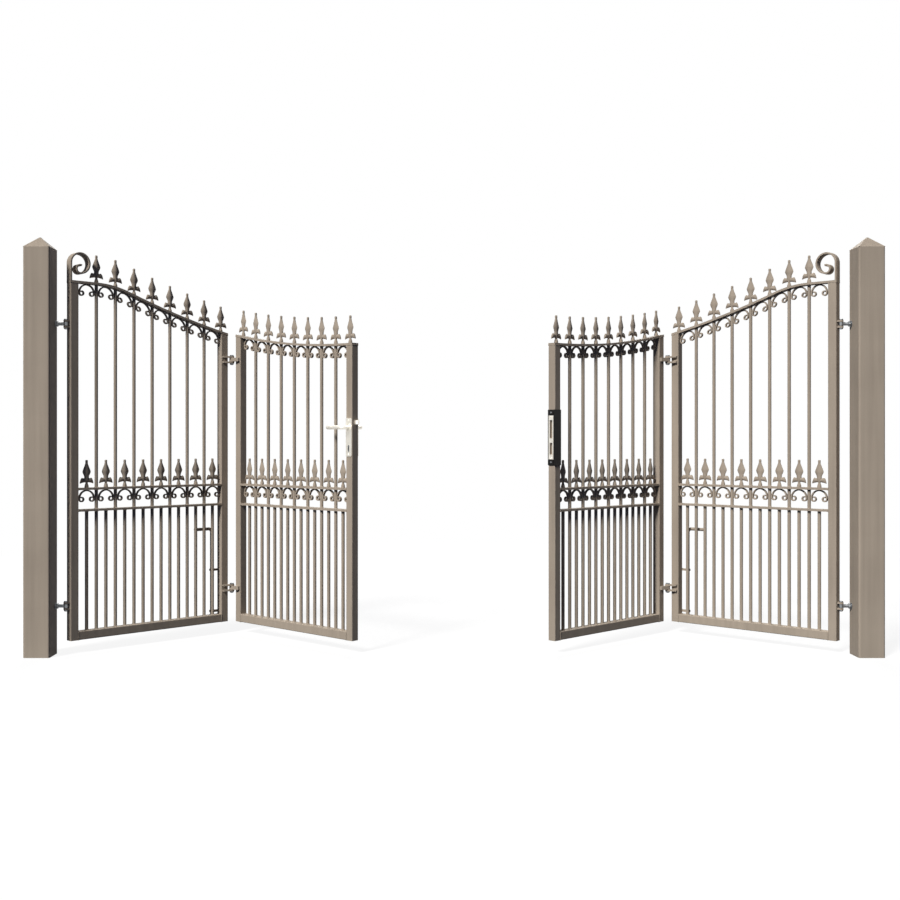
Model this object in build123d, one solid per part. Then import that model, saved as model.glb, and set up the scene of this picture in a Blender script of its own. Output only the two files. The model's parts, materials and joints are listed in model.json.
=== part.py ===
from build123d import *
import os
from math import atan2, cos, pi, radians, sin, sqrt

# Pair of bi-fold driveway gates in the wrought-iron style, standing half folded between two posts.
# Millimetres, +Z up. The origin is the centre of the left post's foot, +X runs across the opening
# to the right post, and +Y points to the side that the folds swing out to.
# A leaf is drawn flat: x runs from its hinge-side edge, y from its mid-plane to the rear, z from the ground.

# Posts
post_side = 120
post_wall = 5
post_height = 1850
post_corner_radius = 9
post_foot_thickness = 8
cap_rise = 50
cap_flat = 6
cap_wall = 4

# How the leaves hang in the opening
post_pivot_offset = 46
post_pivot_back = 93.6
stile_pivot_offset = 14
fold_gap = 28
fold_pivot_front = 12.5
centre_gap = 22
rest_angle = 43.5

# Leaf frame
leaf_width = 860
leaf_bottom = 60
stile_side = 40
stile_wall = 3
stile_corner_radius = 4
rail_depth = 40
rail_thickness = 10
lower_rail_height = 655
upper_rail_height = 754
seat_gap = 0.1

# Sweep of the top rail, from the level shoulder beside the post to the dip at the gate's centre line
top_rail_high = 1712
top_rail_low = 1425
dip_radius = 4250
shoulder_radius = 500

# Bars, railheads and scrolls
least_bay_pitch = 96
last_bay_overrun = 8
bar_diameter = 16
bar_sides = 8
bar_hole_clearance = 0.3
railhead_height = 128
railhead_half_width = 34
railhead_thickness = 12
railhead_skirt = 8
scroll_depth = 12
scroll_thickness = 6
scroll_ring_radius = 13.5
scroll_drop = 43
scroll_side_gap = 1.5

# Scroll that ends the hinge stile
stile_scroll_radius = 50
stile_scroll_rise = 132
stile_scroll_thickness = 8
stile_scroll_eye_radius = 23
stile_scroll_eye_turn = 200
stile_scroll_sides = 16

# Hinges
upper_post_hinge_height = 1511
lower_post_hinge_height = 221
upper_fold_hinge_drop = 124
lower_fold_hinge_rise = 10
eye_height = 18
lug_thickness = 8
hinge_axial_gap = 0.5
hinge_radial_gap = 0.3
post_pin_diameter = 10
post_eye_radius = 10.5
eyebolt_diameter = 16
eyebolt_inner_reach = 12
fold_pin_diameter = 12
fold_eye_radius = 12.5
fold_lug_reach = 34
fold_lug_front = 10
pin_head_thickness = 4
pin_head_overhang = 4

# Drop bolts
bolt_diameter = 16
bolt_from_stile = 25
bolt_behind_leaf = 32
bolt_tip_height = 78
bolt_handle_height = 530
bolt_handle_length = 100
bolt_bend_radius = 18
guide_thickness = 10
guide_lower_height = 113
guide_upper_height = 322
guide_seat_length = 32
guide_seat_depth = 14
bolt_guide_clearance = 0.3

# Lock on the left inner leaf and its keep on the right inner leaf
lock_plate_width = 36
lock_plate_thickness = 3
lock_plate_corner_radius = 6
key_slot_below_lever = 97
key_slot_length = 32
key_slot_width = 10
lock_plate_below_lever = 134
lock_plate_above_lever = 42
lever_height = 1038
lever_diameter = 19
lever_standoff = 38
lever_length = 110
lever_bend_radius = 14
lever_clearance = 0.3
spindle_diameter = 10
latch_above_lever = 23
latch_width = 13
latch_tall = 18
latch_back_gap = 5
latch_throw = 20
latch_clearance = 0.3
keep_below_latch = 197
keep_above_latch = 58
keep_thickness = 3
keep_lip = 6
strike_width = 28
strike_thickness = 2
strike_edge = 27
latch_slot_clearance = 1
latch_slot_length = 84
bolt_slot_length = 54
slot_spacing = 20
cut_overrun = 2

# Places worked out from the sizes above
half_stile = stile_side / 2
clear_width = leaf_width - 2 * stile_side
bay_count = int((clear_width + last_bay_overrun) / least_bay_pitch)
bay_pitch = (clear_width + last_bay_overrun) / bay_count
upper_fold_hinge_height = upper_post_hinge_height - upper_fold_hinge_drop
lower_fold_hinge_height = lower_post_hinge_height + lower_fold_hinge_rise
fold_x = leaf_width + fold_gap / 2
fold_y = -half_stile - fold_pivot_front
inner_to_centre = leaf_width + centre_gap / 2
outer_to_centre = inner_to_centre + fold_gap + leaf_width
pivot_x = post_side / 2 + post_pivot_offset
pivot_y = post_pivot_back - post_side / 2
gate_centre_x = pivot_x + stile_pivot_offset + outer_to_centre
dip_centre = top_rail_low + dip_radius
shoulder_centre = top_rail_high - shoulder_radius
centres_apart = dip_radius + shoulder_radius
shoulder_start = sqrt(centres_apart**2 - (dip_centre - shoulder_centre)**2)
bottom_rail_top = leaf_bottom + stile_side
lower_rail_under = lower_rail_height - rail_thickness / 2
upper_rail_under = upper_rail_height - rail_thickness / 2
upper_rail_top = upper_rail_height + rail_thickness / 2
scroll_arch_radius = bay_pitch / 2 - bar_diameter / 2 - scroll_side_gap
octagon_share = sqrt(2) - 1
lock_x = leaf_width - half_stile
lock_plate_low = lever_height - lock_plate_below_lever
lock_plate_high = lever_height + lock_plate_above_lever
latch_height = lever_height + latch_above_lever
latch_low = latch_height - latch_tall / 2
latch_high = latch_height + latch_tall / 2
latch_length = stile_side - stile_wall - latch_back_gap
keep_low = latch_height - keep_below_latch
keep_high = latch_height + keep_above_latch
strike_low = keep_low + strike_edge
strike_high = keep_high - strike_edge
keep_slot_width = latch_width + 2 * latch_slot_clearance
latch_slot_high = latch_high + latch_slot_clearance
latch_slot_low = latch_slot_high - latch_slot_length
bolt_slot_high = latch_slot_low - slot_spacing
bolt_slot_low = bolt_slot_high - bolt_slot_length
bar_places = [stile_side + bay_pitch * bay for bay in range(1, bay_count)]
dog_places = [stile_side + bay_pitch * (bay + 1 / 2) for bay in range(bay_count)]
head_places = [stile_side + bay_pitch * bay for bay in range(bay_count + 1)]


def block(x_low, x_high, y_low, y_high, z_low, z_high):
    """Box between two corners."""
    box = Box(x_high - x_low, y_high - y_low, z_high - z_low)
    return Pos((x_low + x_high) / 2, (y_low + y_high) / 2, (z_low + z_high) / 2) * box


def square_tube(side, wall, corner_radius, length):
    """Square hollow section standing on the origin."""
    outline = RectangleRounded(side, side, corner_radius) - Rectangle(side - 2 * wall, side - 2 * wall)
    return extrude(outline, amount=length)


def upright_bar(x, z_low, z_high, diameter):
    """Round bar with a few flats, standing on the leaf's mid-plane."""
    outline = RegularPolygon(diameter / 2, bar_sides)
    return Pos(x, 0, z_low) * extrude(outline, amount=z_high - z_low)


def upright_pin(diameter, z_low, z_high):
    """Round pin on the Z axis."""
    return Pos(0, 0, z_low) * extrude(Circle(diameter / 2), amount=z_high - z_low)


# Sweep of the top rail
def rail_height(from_centre, drop=0):
    """Height of the surface that lies a drop under the top rail's upper face, at a distance from the gate's centre."""
    dip_end = shoulder_start * (dip_radius + drop) / centres_apart
    if from_centre <= dip_end:
        return dip_centre - sqrt((dip_radius + drop)**2 - from_centre**2)
    if from_centre <= shoulder_start:
        return shoulder_centre + sqrt((shoulder_radius - drop)**2 - (shoulder_start - from_centre)**2)
    return top_rail_high - drop


def rail_fall(from_centre):
    """Slope of the top rail, as the fall for each length towards the gate's centre."""
    dip_end = shoulder_start * dip_radius / centres_apart
    if from_centre <= dip_end:
        return from_centre / sqrt(dip_radius**2 - from_centre**2)
    if from_centre <= shoulder_start:
        run = shoulder_start - from_centre
        return run / sqrt(shoulder_radius**2 - run**2)
    return 0


def rail_plane(to_centre, x, drop):
    """Plane that follows the top rail at one place of a leaf."""
    from_centre = to_centre - x
    return Plane(origin=(x, 0, rail_height(from_centre, drop)), z_dir=(rail_fall(from_centre), 0, 1))


def rail_edge(to_centre, drop):
    """Line and arcs along one face of the top rail, from the leaf's hinge-side edge to its other edge."""
    start, end = to_centre, to_centre - leaf_width
    dip_end = shoulder_start * (dip_radius + drop) / centres_apart
    breaks = [start] + [place for place in (shoulder_start, dip_end) if end < place < start] + [end]

    def point(from_centre):
        return (to_centre - from_centre, 0, rail_height(from_centre, drop))

    edges = []
    for far, near in zip(breaks, breaks[1:]):
        if near >= shoulder_start:
            edges.append(Line(point(far), point(near)))
        else:
            edges.append(ThreePointArc(point(far), point((far + near) / 2), point(near)))
    return edges, point(start), point(end)


def top_rail(to_centre):
    """Flat bar bent along the sweep, lying over both stiles."""
    upper, upper_start, upper_end = rail_edge(to_centre, 0)
    under, under_start, under_end = rail_edge(to_centre, rail_thickness)
    outline = upper + under + [Line(upper_start, under_start), Line(upper_end, under_end)]
    face = make_face(Wire.combine(outline)[0])
    return extrude(face, amount=rail_depth / 2, dir=(0, 1, 0), both=True)


# Ironwork of a leaf
def stile(to_centre, x):
    """Upright tube whose top is cut to lie under the top rail."""
    tube = square_tube(stile_side, stile_wall, stile_corner_radius, top_rail_high - leaf_bottom)
    seat = rail_plane(to_centre, x, rail_thickness + seat_gap)
    return split(Pos(x, 0, leaf_bottom) * tube, bisect_by=seat, keep=Keep.BOTTOM)


def bottom_rail():
    """Square tube between the stiles."""
    tube = square_tube(stile_side, stile_wall, stile_corner_radius, clear_width)
    return Pos(stile_side, 0, leaf_bottom + half_stile) * Rot(0, 90, 0) * tube


def mid_rail(height):
    """Flat bar between the stiles, punched for the full-height bars."""
    low, high = height - rail_thickness / 2, height + rail_thickness / 2
    flat = block(stile_side, leaf_width - stile_side, -rail_depth / 2, rail_depth / 2, low, high)
    for x in bar_places:
        flat -= upright_bar(x, low - cut_overrun, high + cut_overrun, bar_diameter + 2 * bar_hole_clearance)
    return flat


def full_bar(to_centre, x):
    """Bar from the bottom rail to the top rail, cut to the rail's slope."""
    bar = upright_bar(x, bottom_rail_top, top_rail_high, bar_diameter)
    return split(bar, bisect_by=rail_plane(to_centre, x, rail_thickness + seat_gap), keep=Keep.BOTTOM)


def leaf_bars(to_centre):
    """Full-height bars, and the short bars between them that stop under the lower rail."""
    full = [full_bar(to_centre, x) for x in bar_places]
    short = [upright_bar(x, bottom_rail_top, lower_rail_under, bar_diameter) for x in dog_places]
    return full + short


# Half outline of a railhead from foot to tip: shares of its half width and of its height
railhead_shares = [(0.26, 0), (0.28, 0.08), (0.16, 0.17), (0.38, 0.205), (0.95, 0.215), (0.82, 0.37),
                   (0.28, 0.405), (0.60, 0.585), (0.13, 0.87), (0.07, 1)]


def railhead(x, foot):
    """Flat cast spear with a pair of curled leaves, its foot cut to the slope of the rail under it."""
    half = [(across * railhead_half_width, up * railhead_height) for across, up in railhead_shares]
    skirt = (half[0][0], -railhead_skirt)
    right = [skirt] + half
    left = [(-across, up) for across, up in reversed(right)]
    face = Plane.XZ * make_face(Polyline(right + left, close=True))
    blank = extrude(face, amount=railhead_thickness / 2, both=True)
    return split(Pos(x, 0, foot.origin.Z) * blank, bisect_by=foot, keep=Keep.TOP)


def railheads(to_centre, top_places):
    """Railheads along the top rail and over the short bars."""
    heads = [railhead(x, rail_plane(to_centre, x, -seat_gap)) for x in top_places]
    for x in dog_places:
        heads.append(railhead(x, Plane(origin=(x, 0, upper_rail_top), z_dir=(0, 0, 1))))
    return heads


def scroll_line():
    """Middle line of a scroll, from one curled end over the arch to the other, with eight sides to each turn."""
    ring = scroll_ring_radius - scroll_thickness / 2
    arch = scroll_arch_radius - scroll_thickness / 2
    top = -scroll_thickness / 2
    centre = arch - ring
    half = [(octagon_share * arch, top),
            (arch, top - arch + octagon_share * arch),
            (arch, -scroll_drop - octagon_share * ring),
            (centre + octagon_share * ring, -scroll_drop - ring),
            (centre - octagon_share * ring, -scroll_drop - ring),
            (centre - ring, -scroll_drop - octagon_share * ring),
            (centre - ring, -scroll_drop + octagon_share * ring),
            (centre - octagon_share * ring, -scroll_drop + ring)]
    return [(-x, z) for x, z in reversed(half)] + half


def strip_outline(line, thickness):
    """Outline of a strip of even thickness along a broken line."""
    left, right = [], []
    for index, (x, z) in enumerate(line):
        before = line[max(index - 1, 0)]
        after = line[min(index + 1, len(line) - 1)]
        into = atan2(z - before[1], x - before[0]) if index else None
        out = atan2(after[1] - z, after[0] - x) if index < len(line) - 1 else None
        into = out if into is None else into
        out = into if out is None else out
        turn = (out - into + pi) % (2 * pi) - pi
        normal = into + turn / 2 + pi / 2
        reach = thickness / 2 / cos(turn / 2)
        left.append((x + reach * cos(normal), z + reach * sin(normal)))
        right.append((x - reach * cos(normal), z - reach * sin(normal)))
    return left + right[::-1]


def scroll(x, under, fall):
    """Scroll under a rail, leaning with the rail's slope."""
    leaning = [(across, up - fall * across) for across, up in strip_outline(scroll_line(), scroll_thickness)]
    face = Plane.XZ * make_face(Polyline(leaning, close=True))
    return Pos(x, 0, under - seat_gap) * extrude(face, amount=scroll_depth / 2, both=True)


def scrolls(to_centre):
    """One scroll in each bay under the top rail and under the upper rail."""
    placed = []
    for x in dog_places:
        from_centre = to_centre - x
        fall = rail_fall(from_centre)
        under = min(rail_height(from_centre - across, rail_thickness) + fall * across
                    for across in (-octagon_share * scroll_arch_radius, octagon_share * scroll_arch_radius))
        under = min(under, rail_height(from_centre, rail_thickness))
        placed.append(scroll(x, under, fall))
        placed.append(scroll(x, upper_rail_under, 0))
    return placed


def stile_scroll():
    """Flat bar that rises from the hinge stile and curls over towards the leaf."""
    radius = stile_scroll_radius - stile_scroll_thickness / 2
    eye_radius = stile_scroll_eye_radius - stile_scroll_thickness / 2
    centre_z = top_rail_high + stile_scroll_rise - stile_scroll_radius
    eye_z = centre_z - radius + eye_radius
    step = 2 * pi / stile_scroll_sides
    line = [(stile_scroll_thickness / 2, top_rail_high)]
    for side in range(stile_scroll_sides * 3 // 4):
        angle = pi - step * side
        line.append((stile_scroll_radius + radius * cos(angle), centre_z + radius * sin(angle)))
    for side in range(int(radians(stile_scroll_eye_turn) / step) + 1):
        angle = -pi / 2 - step * side
        line.append((stile_scroll_radius + eye_radius * cos(angle), eye_z + eye_radius * sin(angle)))
    face = Plane.XZ * make_face(Polyline(strip_outline(line, stile_scroll_thickness), close=True))
    return extrude(face, amount=rail_depth / 2, both=True)


# Hinges
def clevis(lug_outline, pin_diameter, height):
    """Two like lugs above and below an eye, bored for the pin."""
    bored = lug_outline - Circle(pin_diameter / 2 + hinge_radial_gap)
    lug = extrude(bored, amount=lug_thickness)
    step = eye_height / 2 + hinge_axial_gap
    return [Pos(0, 0, height + step) * lug, Pos(0, 0, height - step - lug_thickness) * lug]


def hinge_pin(pin_diameter, height):
    """Pin with a head at each end, through a clevis."""
    reach = eye_height / 2 + hinge_axial_gap + lug_thickness
    shank = upright_pin(pin_diameter, height - reach, height + reach)
    wide = pin_diameter + 2 * pin_head_overhang
    top = upright_pin(wide, height + reach, height + reach + pin_head_thickness)
    foot = upright_pin(wide, height - reach - pin_head_thickness, height - reach)
    return shank + top + foot


def post_lug_outline():
    """Plan of a lug on the stile's edge, round at the pin."""
    tongue = Pos(stile_pivot_offset / 2, 0) * Rectangle(stile_pivot_offset, 2 * post_eye_radius)
    return Circle(post_eye_radius) + tongue


def fold_lug_outline(side):
    """Plan of a lug on the front face of a fold stile, round at the pin; side is -1 towards the outer leaf."""
    low, high = fold_gap / 2, fold_gap / 2 + fold_lug_reach
    seat_y = fold_pivot_front - fold_lug_front / 2
    seat = Pos(side * (low + high) / 2, seat_y) * Rectangle(fold_lug_reach, fold_lug_front)
    return make_hull((Circle(fold_eye_radius) + seat).edges())


def outer_hinges():
    """Clevises on the outer leaf's edge and on its fold stile."""
    lugs = []
    for height in (lower_post_hinge_height, upper_post_hinge_height):
        lugs += [Pos(-stile_pivot_offset, 0) * lug for lug in clevis(post_lug_outline(), post_pin_diameter, height)]
    for height in (lower_fold_hinge_height, upper_fold_hinge_height):
        lugs += [Pos(fold_x, fold_y) * lug for lug in clevis(fold_lug_outline(-1), fold_pin_diameter, height)]
    return lugs


def outer_hinge_pins():
    """Pins of the post hinges and of the fold hinges."""
    post_heights = (lower_post_hinge_height, upper_post_hinge_height)
    fold_heights = (lower_fold_hinge_height, upper_fold_hinge_height)
    pins = [Pos(-stile_pivot_offset, 0) * hinge_pin(post_pin_diameter, height) for height in post_heights]
    return pins + [Pos(fold_x, fold_y) * hinge_pin(fold_pin_diameter, height) for height in fold_heights]


def fold_eyes():
    """Eyes on the inner leaf's fold stile, between the lugs of the outer leaf."""
    bored = fold_lug_outline(1) - Circle(fold_pin_diameter / 2 + hinge_radial_gap)
    eye = extrude(bored, amount=eye_height / 2, both=True)
    heights = (lower_fold_hinge_height, upper_fold_hinge_height)
    return [Pos(-fold_gap / 2, fold_y, height) * eye for height in heights]


def eyebolts():
    """Eyebolts screwed through the left post's inner wall."""
    ring = extrude(Circle(post_eye_radius), amount=eye_height / 2, both=True)
    reach = post_pivot_offset + post_wall + eyebolt_inner_reach
    shank = Rot(0, -90, 0) * upright_pin(eyebolt_diameter, 0, reach)
    bore = extrude(Circle(post_pin_diameter / 2 + hinge_radial_gap), amount=eye_height, both=True)
    bolt = ring + shank - bore
    return [Pos(pivot_x, pivot_y, height) * bolt for height in (lower_post_hinge_height, upper_post_hinge_height)]


# Posts
def post():
    """Left post: square tube closed at the foot and drilled for the eyebolts."""
    tube = square_tube(post_side, post_wall, post_corner_radius, post_height)
    foot_side = post_side - 2 * post_wall
    tube += block(-foot_side / 2, foot_side / 2, -foot_side / 2, foot_side / 2, 0, post_foot_thickness)
    hole = Rot(0, 90, 0) * upright_pin(eyebolt_diameter + 2 * bar_hole_clearance, 0, post_side)
    for height in (lower_post_hinge_height, upper_post_hinge_height):
        tube -= Pos(0, pivot_y, height) * hole
    return tube


def post_cap():
    """Hollow pyramid on the post's top."""
    def pyramid(side, flat, rise):
        return loft([Rectangle(side, side).face(), (Pos(0, 0, rise) * Rectangle(flat, flat)).face()])

    shell = pyramid(post_side, cap_flat, cap_rise)
    inside = post_side - 2 * post_wall
    hollow = pyramid(inside, cap_flat, (cap_rise - cap_wall) * inside / post_side)
    return Pos(0, 0, post_height) * (shell - hollow)


# Drop bolt
def drop_bolt():
    """Rod with its top bent over as a handle, behind the outer leaf."""
    x = leaf_width - stile_side - bolt_from_stile
    foot = (x, bolt_behind_leaf, bolt_tip_height)
    corner = (x, bolt_behind_leaf, bolt_handle_height)
    end = (x - bolt_handle_length, bolt_behind_leaf, bolt_handle_height)
    path = FilletPolyline(foot, corner, end, radius=bolt_bend_radius)
    return sweep(Plane(origin=foot, z_dir=(0, 0, 1)) * Circle(bolt_diameter / 2), path=path)


def bolt_guides():
    """Plates on the fold stile's rear face that the drop bolt slides through."""
    x = leaf_width - stile_side - bolt_from_stile
    seat_x = leaf_width - stile_side + guide_seat_length / 2
    round_end = Pos(x, bolt_behind_leaf) * Circle(bolt_behind_leaf - half_stile)
    seat = Pos(seat_x, half_stile + guide_seat_depth / 2) * Rectangle(guide_seat_length, guide_seat_depth)
    plan = make_hull((round_end + seat).edges())
    plan -= Pos(x, bolt_behind_leaf) * Circle(bolt_diameter / 2 + bolt_guide_clearance)
    plate = extrude(plan, amount=guide_thickness / 2, both=True)
    return [Pos(0, 0, height) * plate for height in (guide_lower_height, guide_upper_height)]


# Lock and keep
def through_hole(diameter, height):
    """Round cutter through a free stile from front to rear."""
    reach = stile_side + cut_overrun
    return Pos(lock_x, 0, height) * Rot(90, 0, 0) * extrude(Circle(diameter / 2), amount=reach, both=True)


def edge_slot(width, low, high, depth):
    """Cutter through a free stile's edge, from a depth inside it to outside."""
    return block(leaf_width - depth, leaf_width + stile_side, -width / 2, width / 2, low, high)


def lock_plates():
    """Plates on the front and rear faces of the lock stile, bored for the lever."""
    plates = []
    for side in (-1, 1):
        outline = RectangleRounded(lock_plate_width, lock_plate_high - lock_plate_low, lock_plate_corner_radius)
        middle = (lock_plate_low + lock_plate_high) / 2
        outline -= Pos(0, lever_height - middle) * Circle(lever_diameter / 2 + lever_clearance)
        outline -= Pos(0, lever_height - key_slot_below_lever - middle) * Rot(0, 0, 90) * SlotOverall(
            key_slot_length, key_slot_width)
        seat = Plane(origin=(lock_x, side * half_stile, middle), x_dir=(-side, 0, 0), z_dir=(0, side, 0))
        plates.append(extrude(seat * outline, amount=lock_plate_thickness))
    return plates


def lever_handles():
    """Front and rear levers on one spindle."""
    grip_y = half_stile + lock_plate_thickness + lever_standoff
    spindle = Rot(90, 0, 0) * extrude(Circle(spindle_diameter / 2), amount=half_stile, both=True)
    lever = Pos(lock_x, 0, lever_height) * spindle
    for side in (-1, 1):
        root = (lock_x, side * (half_stile - stile_wall), lever_height)
        corner = (lock_x, side * grip_y, lever_height)
        end = (lock_x - lever_length, side * grip_y, lever_height)
        path = FilletPolyline(root, corner, end, radius=lever_bend_radius)
        lever += sweep(Plane(origin=root, z_dir=(0, side, 0)) * Circle(lever_diameter / 2), path=path)
    return lever


def latch_bolt():
    """Sprung latch through the lock stile's edge, bevelled at the nose."""
    nose = leaf_width + latch_throw
    tail = nose - latch_length
    half = latch_width / 2
    plan = Polyline((tail, -half), (nose - latch_throw / 2, -half), (nose, 0), (nose, half), (tail, half), close=True)
    return Pos(0, 0, latch_low) * extrude(make_face(plan), amount=latch_tall)


def lock_stile_cuts():
    """Openings in the lock stile for the spindle and the latch."""
    slot = edge_slot(latch_width + 2 * latch_clearance, latch_low - latch_clearance,
                     latch_high + latch_clearance, stile_wall + cut_overrun)
    return [through_hole(lever_diameter + 2 * lever_clearance, lever_height), slot]


def keep_slots(depth):
    """Cutters for the keep's two slots."""
    return [edge_slot(keep_slot_width, latch_slot_low, latch_slot_high, depth),
            edge_slot(keep_slot_width, bolt_slot_low, bolt_slot_high, depth)]


def keep_body():
    """Angle round the keep stile's edge and front face, with a lip past the edge."""
    edge = leaf_width + keep_thickness
    front = -half_stile - keep_thickness
    body = block(leaf_width, edge, front, half_stile, keep_low, keep_high)
    body += block(leaf_width - stile_side, edge + keep_lip, front, -half_stile, keep_low, keep_high)
    for slot in keep_slots(cut_overrun):
        body -= slot
    return body


def strike_plate():
    """Thin plate on the keep, slotted for the latch and the lock bolt."""
    edge = leaf_width + keep_thickness
    plate = block(edge, edge + strike_thickness, -strike_width / 2, strike_width / 2, strike_low, strike_high)
    for slot in keep_slots(cut_overrun):
        plate -= slot
    return plate


# Where the pieces stand
def outer_place(shape):
    """From the flat outer leaf to its place in the left half of the gate."""
    return Location((pivot_x, pivot_y, 0), (0, 0, rest_angle)) * Pos(stile_pivot_offset, 0) * shape


def inner_place(shape):
    """From the flat inner leaf to its place in the left half of the gate."""
    fold = Location((fold_x, fold_y, 0), (0, 0, -2 * rest_angle))
    return outer_place(fold * Pos(fold_gap / 2, -fold_y) * shape)


def right_half(shape):
    """Mirror image in the gate's centre plane."""
    return mirror(shape, about=Plane(origin=(gate_centre_x, 0, 0), z_dir=(1, 0, 0)))


def write(node, shapes, place, mirrored=False):
    """Put a node's pieces in place and write them to its file."""
    solids = []
    for shape in shapes:
        placed = right_half(place(shape)) if mirrored else place(shape)
        solids += placed.solids()
    export_step(Compound(children=solids), f"parts/{node}.step")


def as_drawn(shape):
    """Pieces that are drawn where they stand."""
    return shape


def write_leaf(name, place, mirrored, to_centre, stiles, head_x):
    """The ironwork that every leaf has."""
    rails = [top_rail(to_centre), mid_rail(lower_rail_height), mid_rail(upper_rail_height)]
    write(f"{name}_stiles", stiles, place, mirrored)
    write(f"{name}_bottom_rail", [bottom_rail()], place, mirrored)
    write(f"{name}_rails", rails, place, mirrored)
    write(f"{name}_bars", leaf_bars(to_centre), place, mirrored)
    write(f"{name}_railheads", railheads(to_centre, head_x), place, mirrored)
    write(f"{name}_scrolls", scrolls(to_centre), place, mirrored)


os.makedirs("parts", exist_ok=True)

write("left_post", [post()], as_drawn)
write("right_post", [post()], as_drawn, True)
write("post_caps", [post_cap(), right_half(post_cap())], as_drawn)
write("post_eyebolts", eyebolts() + [right_half(bolt) for bolt in eyebolts()], as_drawn)

for side_name, mirrored in (("left", False), ("right", True)):
    outer = f"{side_name}_outer"
    inner = f"{side_name}_inner"
    outer_stiles = [stile(outer_to_centre, x) for x in (half_stile, leaf_width - half_stile)]
    free_stile = stile(inner_to_centre, leaf_width - half_stile)
    for cut in keep_slots(stile_wall + cut_overrun) if mirrored else lock_stile_cuts():
        free_stile -= cut
    inner_stiles = [stile(inner_to_centre, half_stile), free_stile]
    write_leaf(outer, outer_place, mirrored, outer_to_centre, outer_stiles, head_places[1:])
    write_leaf(inner, inner_place, mirrored, inner_to_centre, inner_stiles, head_places)
    write(f"{outer}_stile_scroll", [stile_scroll()], outer_place, mirrored)
    write(f"{outer}_hinge_lugs", outer_hinges(), outer_place, mirrored)
    write(f"{outer}_hinge_pins", outer_hinge_pins(), outer_place, mirrored)
    write(f"{outer}_bolt_guides", bolt_guides(), outer_place, mirrored)
    write(f"{inner}_fold_eyes", fold_eyes(), inner_place, mirrored)
    write(f"{side_name}_drop_bolt", [drop_bolt()], outer_place, mirrored)

write("lock_plates", lock_plates(), inner_place)
write("lever_handles", [lever_handles()], inner_place)
write("latch_bolt", [latch_bolt()], inner_place)
write("keep_body", [keep_body()], inner_place, True)
write("strike_plate", [strike_plate()], inner_place, True)
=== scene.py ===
"""Finishes and fine ironwork of a pair of bi-fold driveway gates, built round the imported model."""

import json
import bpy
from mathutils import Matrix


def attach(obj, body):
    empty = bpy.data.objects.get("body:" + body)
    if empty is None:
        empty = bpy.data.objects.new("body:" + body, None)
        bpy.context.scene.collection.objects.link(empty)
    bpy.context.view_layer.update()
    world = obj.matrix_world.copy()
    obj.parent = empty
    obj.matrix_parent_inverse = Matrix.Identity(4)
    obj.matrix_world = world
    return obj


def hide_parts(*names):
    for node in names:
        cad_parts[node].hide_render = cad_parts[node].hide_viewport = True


bl_info = {
    "name": "Bi-fold driveway gate",
    "version": (1, 0, 0),
    "blender": (4, 5, 0),
    "location": "View3D > Sidebar > Gate",
    "description": "Finishes and fine ironwork for a pair of bi-fold driveway gates",
    "category": "Object",
}

from math import atan, copysign, cos, pi, radians, sin, sqrt

import bmesh
import bpy
from bpy.props import FloatProperty, FloatVectorProperty, IntProperty, PointerProperty
from bpy.types import Operator, Panel, PropertyGroup
from mathutils import Matrix, Vector

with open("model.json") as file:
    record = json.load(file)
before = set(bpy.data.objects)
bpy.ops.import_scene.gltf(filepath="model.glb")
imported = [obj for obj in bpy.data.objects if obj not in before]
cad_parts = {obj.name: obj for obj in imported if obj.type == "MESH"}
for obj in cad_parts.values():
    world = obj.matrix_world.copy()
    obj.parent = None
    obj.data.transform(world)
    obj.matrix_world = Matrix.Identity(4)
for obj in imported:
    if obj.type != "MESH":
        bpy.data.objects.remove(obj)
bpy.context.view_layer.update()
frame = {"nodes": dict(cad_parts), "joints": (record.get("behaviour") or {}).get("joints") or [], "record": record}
JOINTS = {joint["name"]: joint for joint in frame["joints"]}
LOCK_LEAF, KEEP_LEAF = "left_inner_leaf", "right_inner_leaf"
OUTER_LEAVES = ("left_outer_leaf", "right_outer_leaf")
LEAVES = ("left_outer_leaf", LOCK_LEAF, "right_outer_leaf", KEEP_LEAF)
# Turns of a piece as it is made, and upside down
UPRIGHT, UPSIDE_DOWN = (0, 0, 0), (pi, 0, 0)


# Sizes and colours that a user would change
def size(name, description, metres):
    """A length that shows in the scene's units."""
    return FloatProperty(name=name, description=description, default=metres, unit="LENGTH", precision=4)


def angle(name, description, degrees):
    """An angle, written in degrees."""
    return FloatProperty(name=name, description=description, default=radians(degrees), subtype="ANGLE")


def strength(name, description, level):
    """Strength of a light."""
    return FloatProperty(name=name, description=description, default=level)


def linear(hex_colour):
    """Linear red, green and blue of an sRGB hex value."""
    shares = [int(hex_colour[place:place + 2], 16) / 255 for place in (1, 3, 5)]
    return tuple(share / 12.92 if share <= 0.04045 else ((share + 0.055) / 1.055) ** 2.4 for share in shares)


def colour(name, description, hex_colour):
    """A finish colour, written as sRGB hex."""
    return FloatVectorProperty(name=name, description=description, default=linear(hex_colour),
                               subtype="COLOR", size=3, min=0, max=1)


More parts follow.
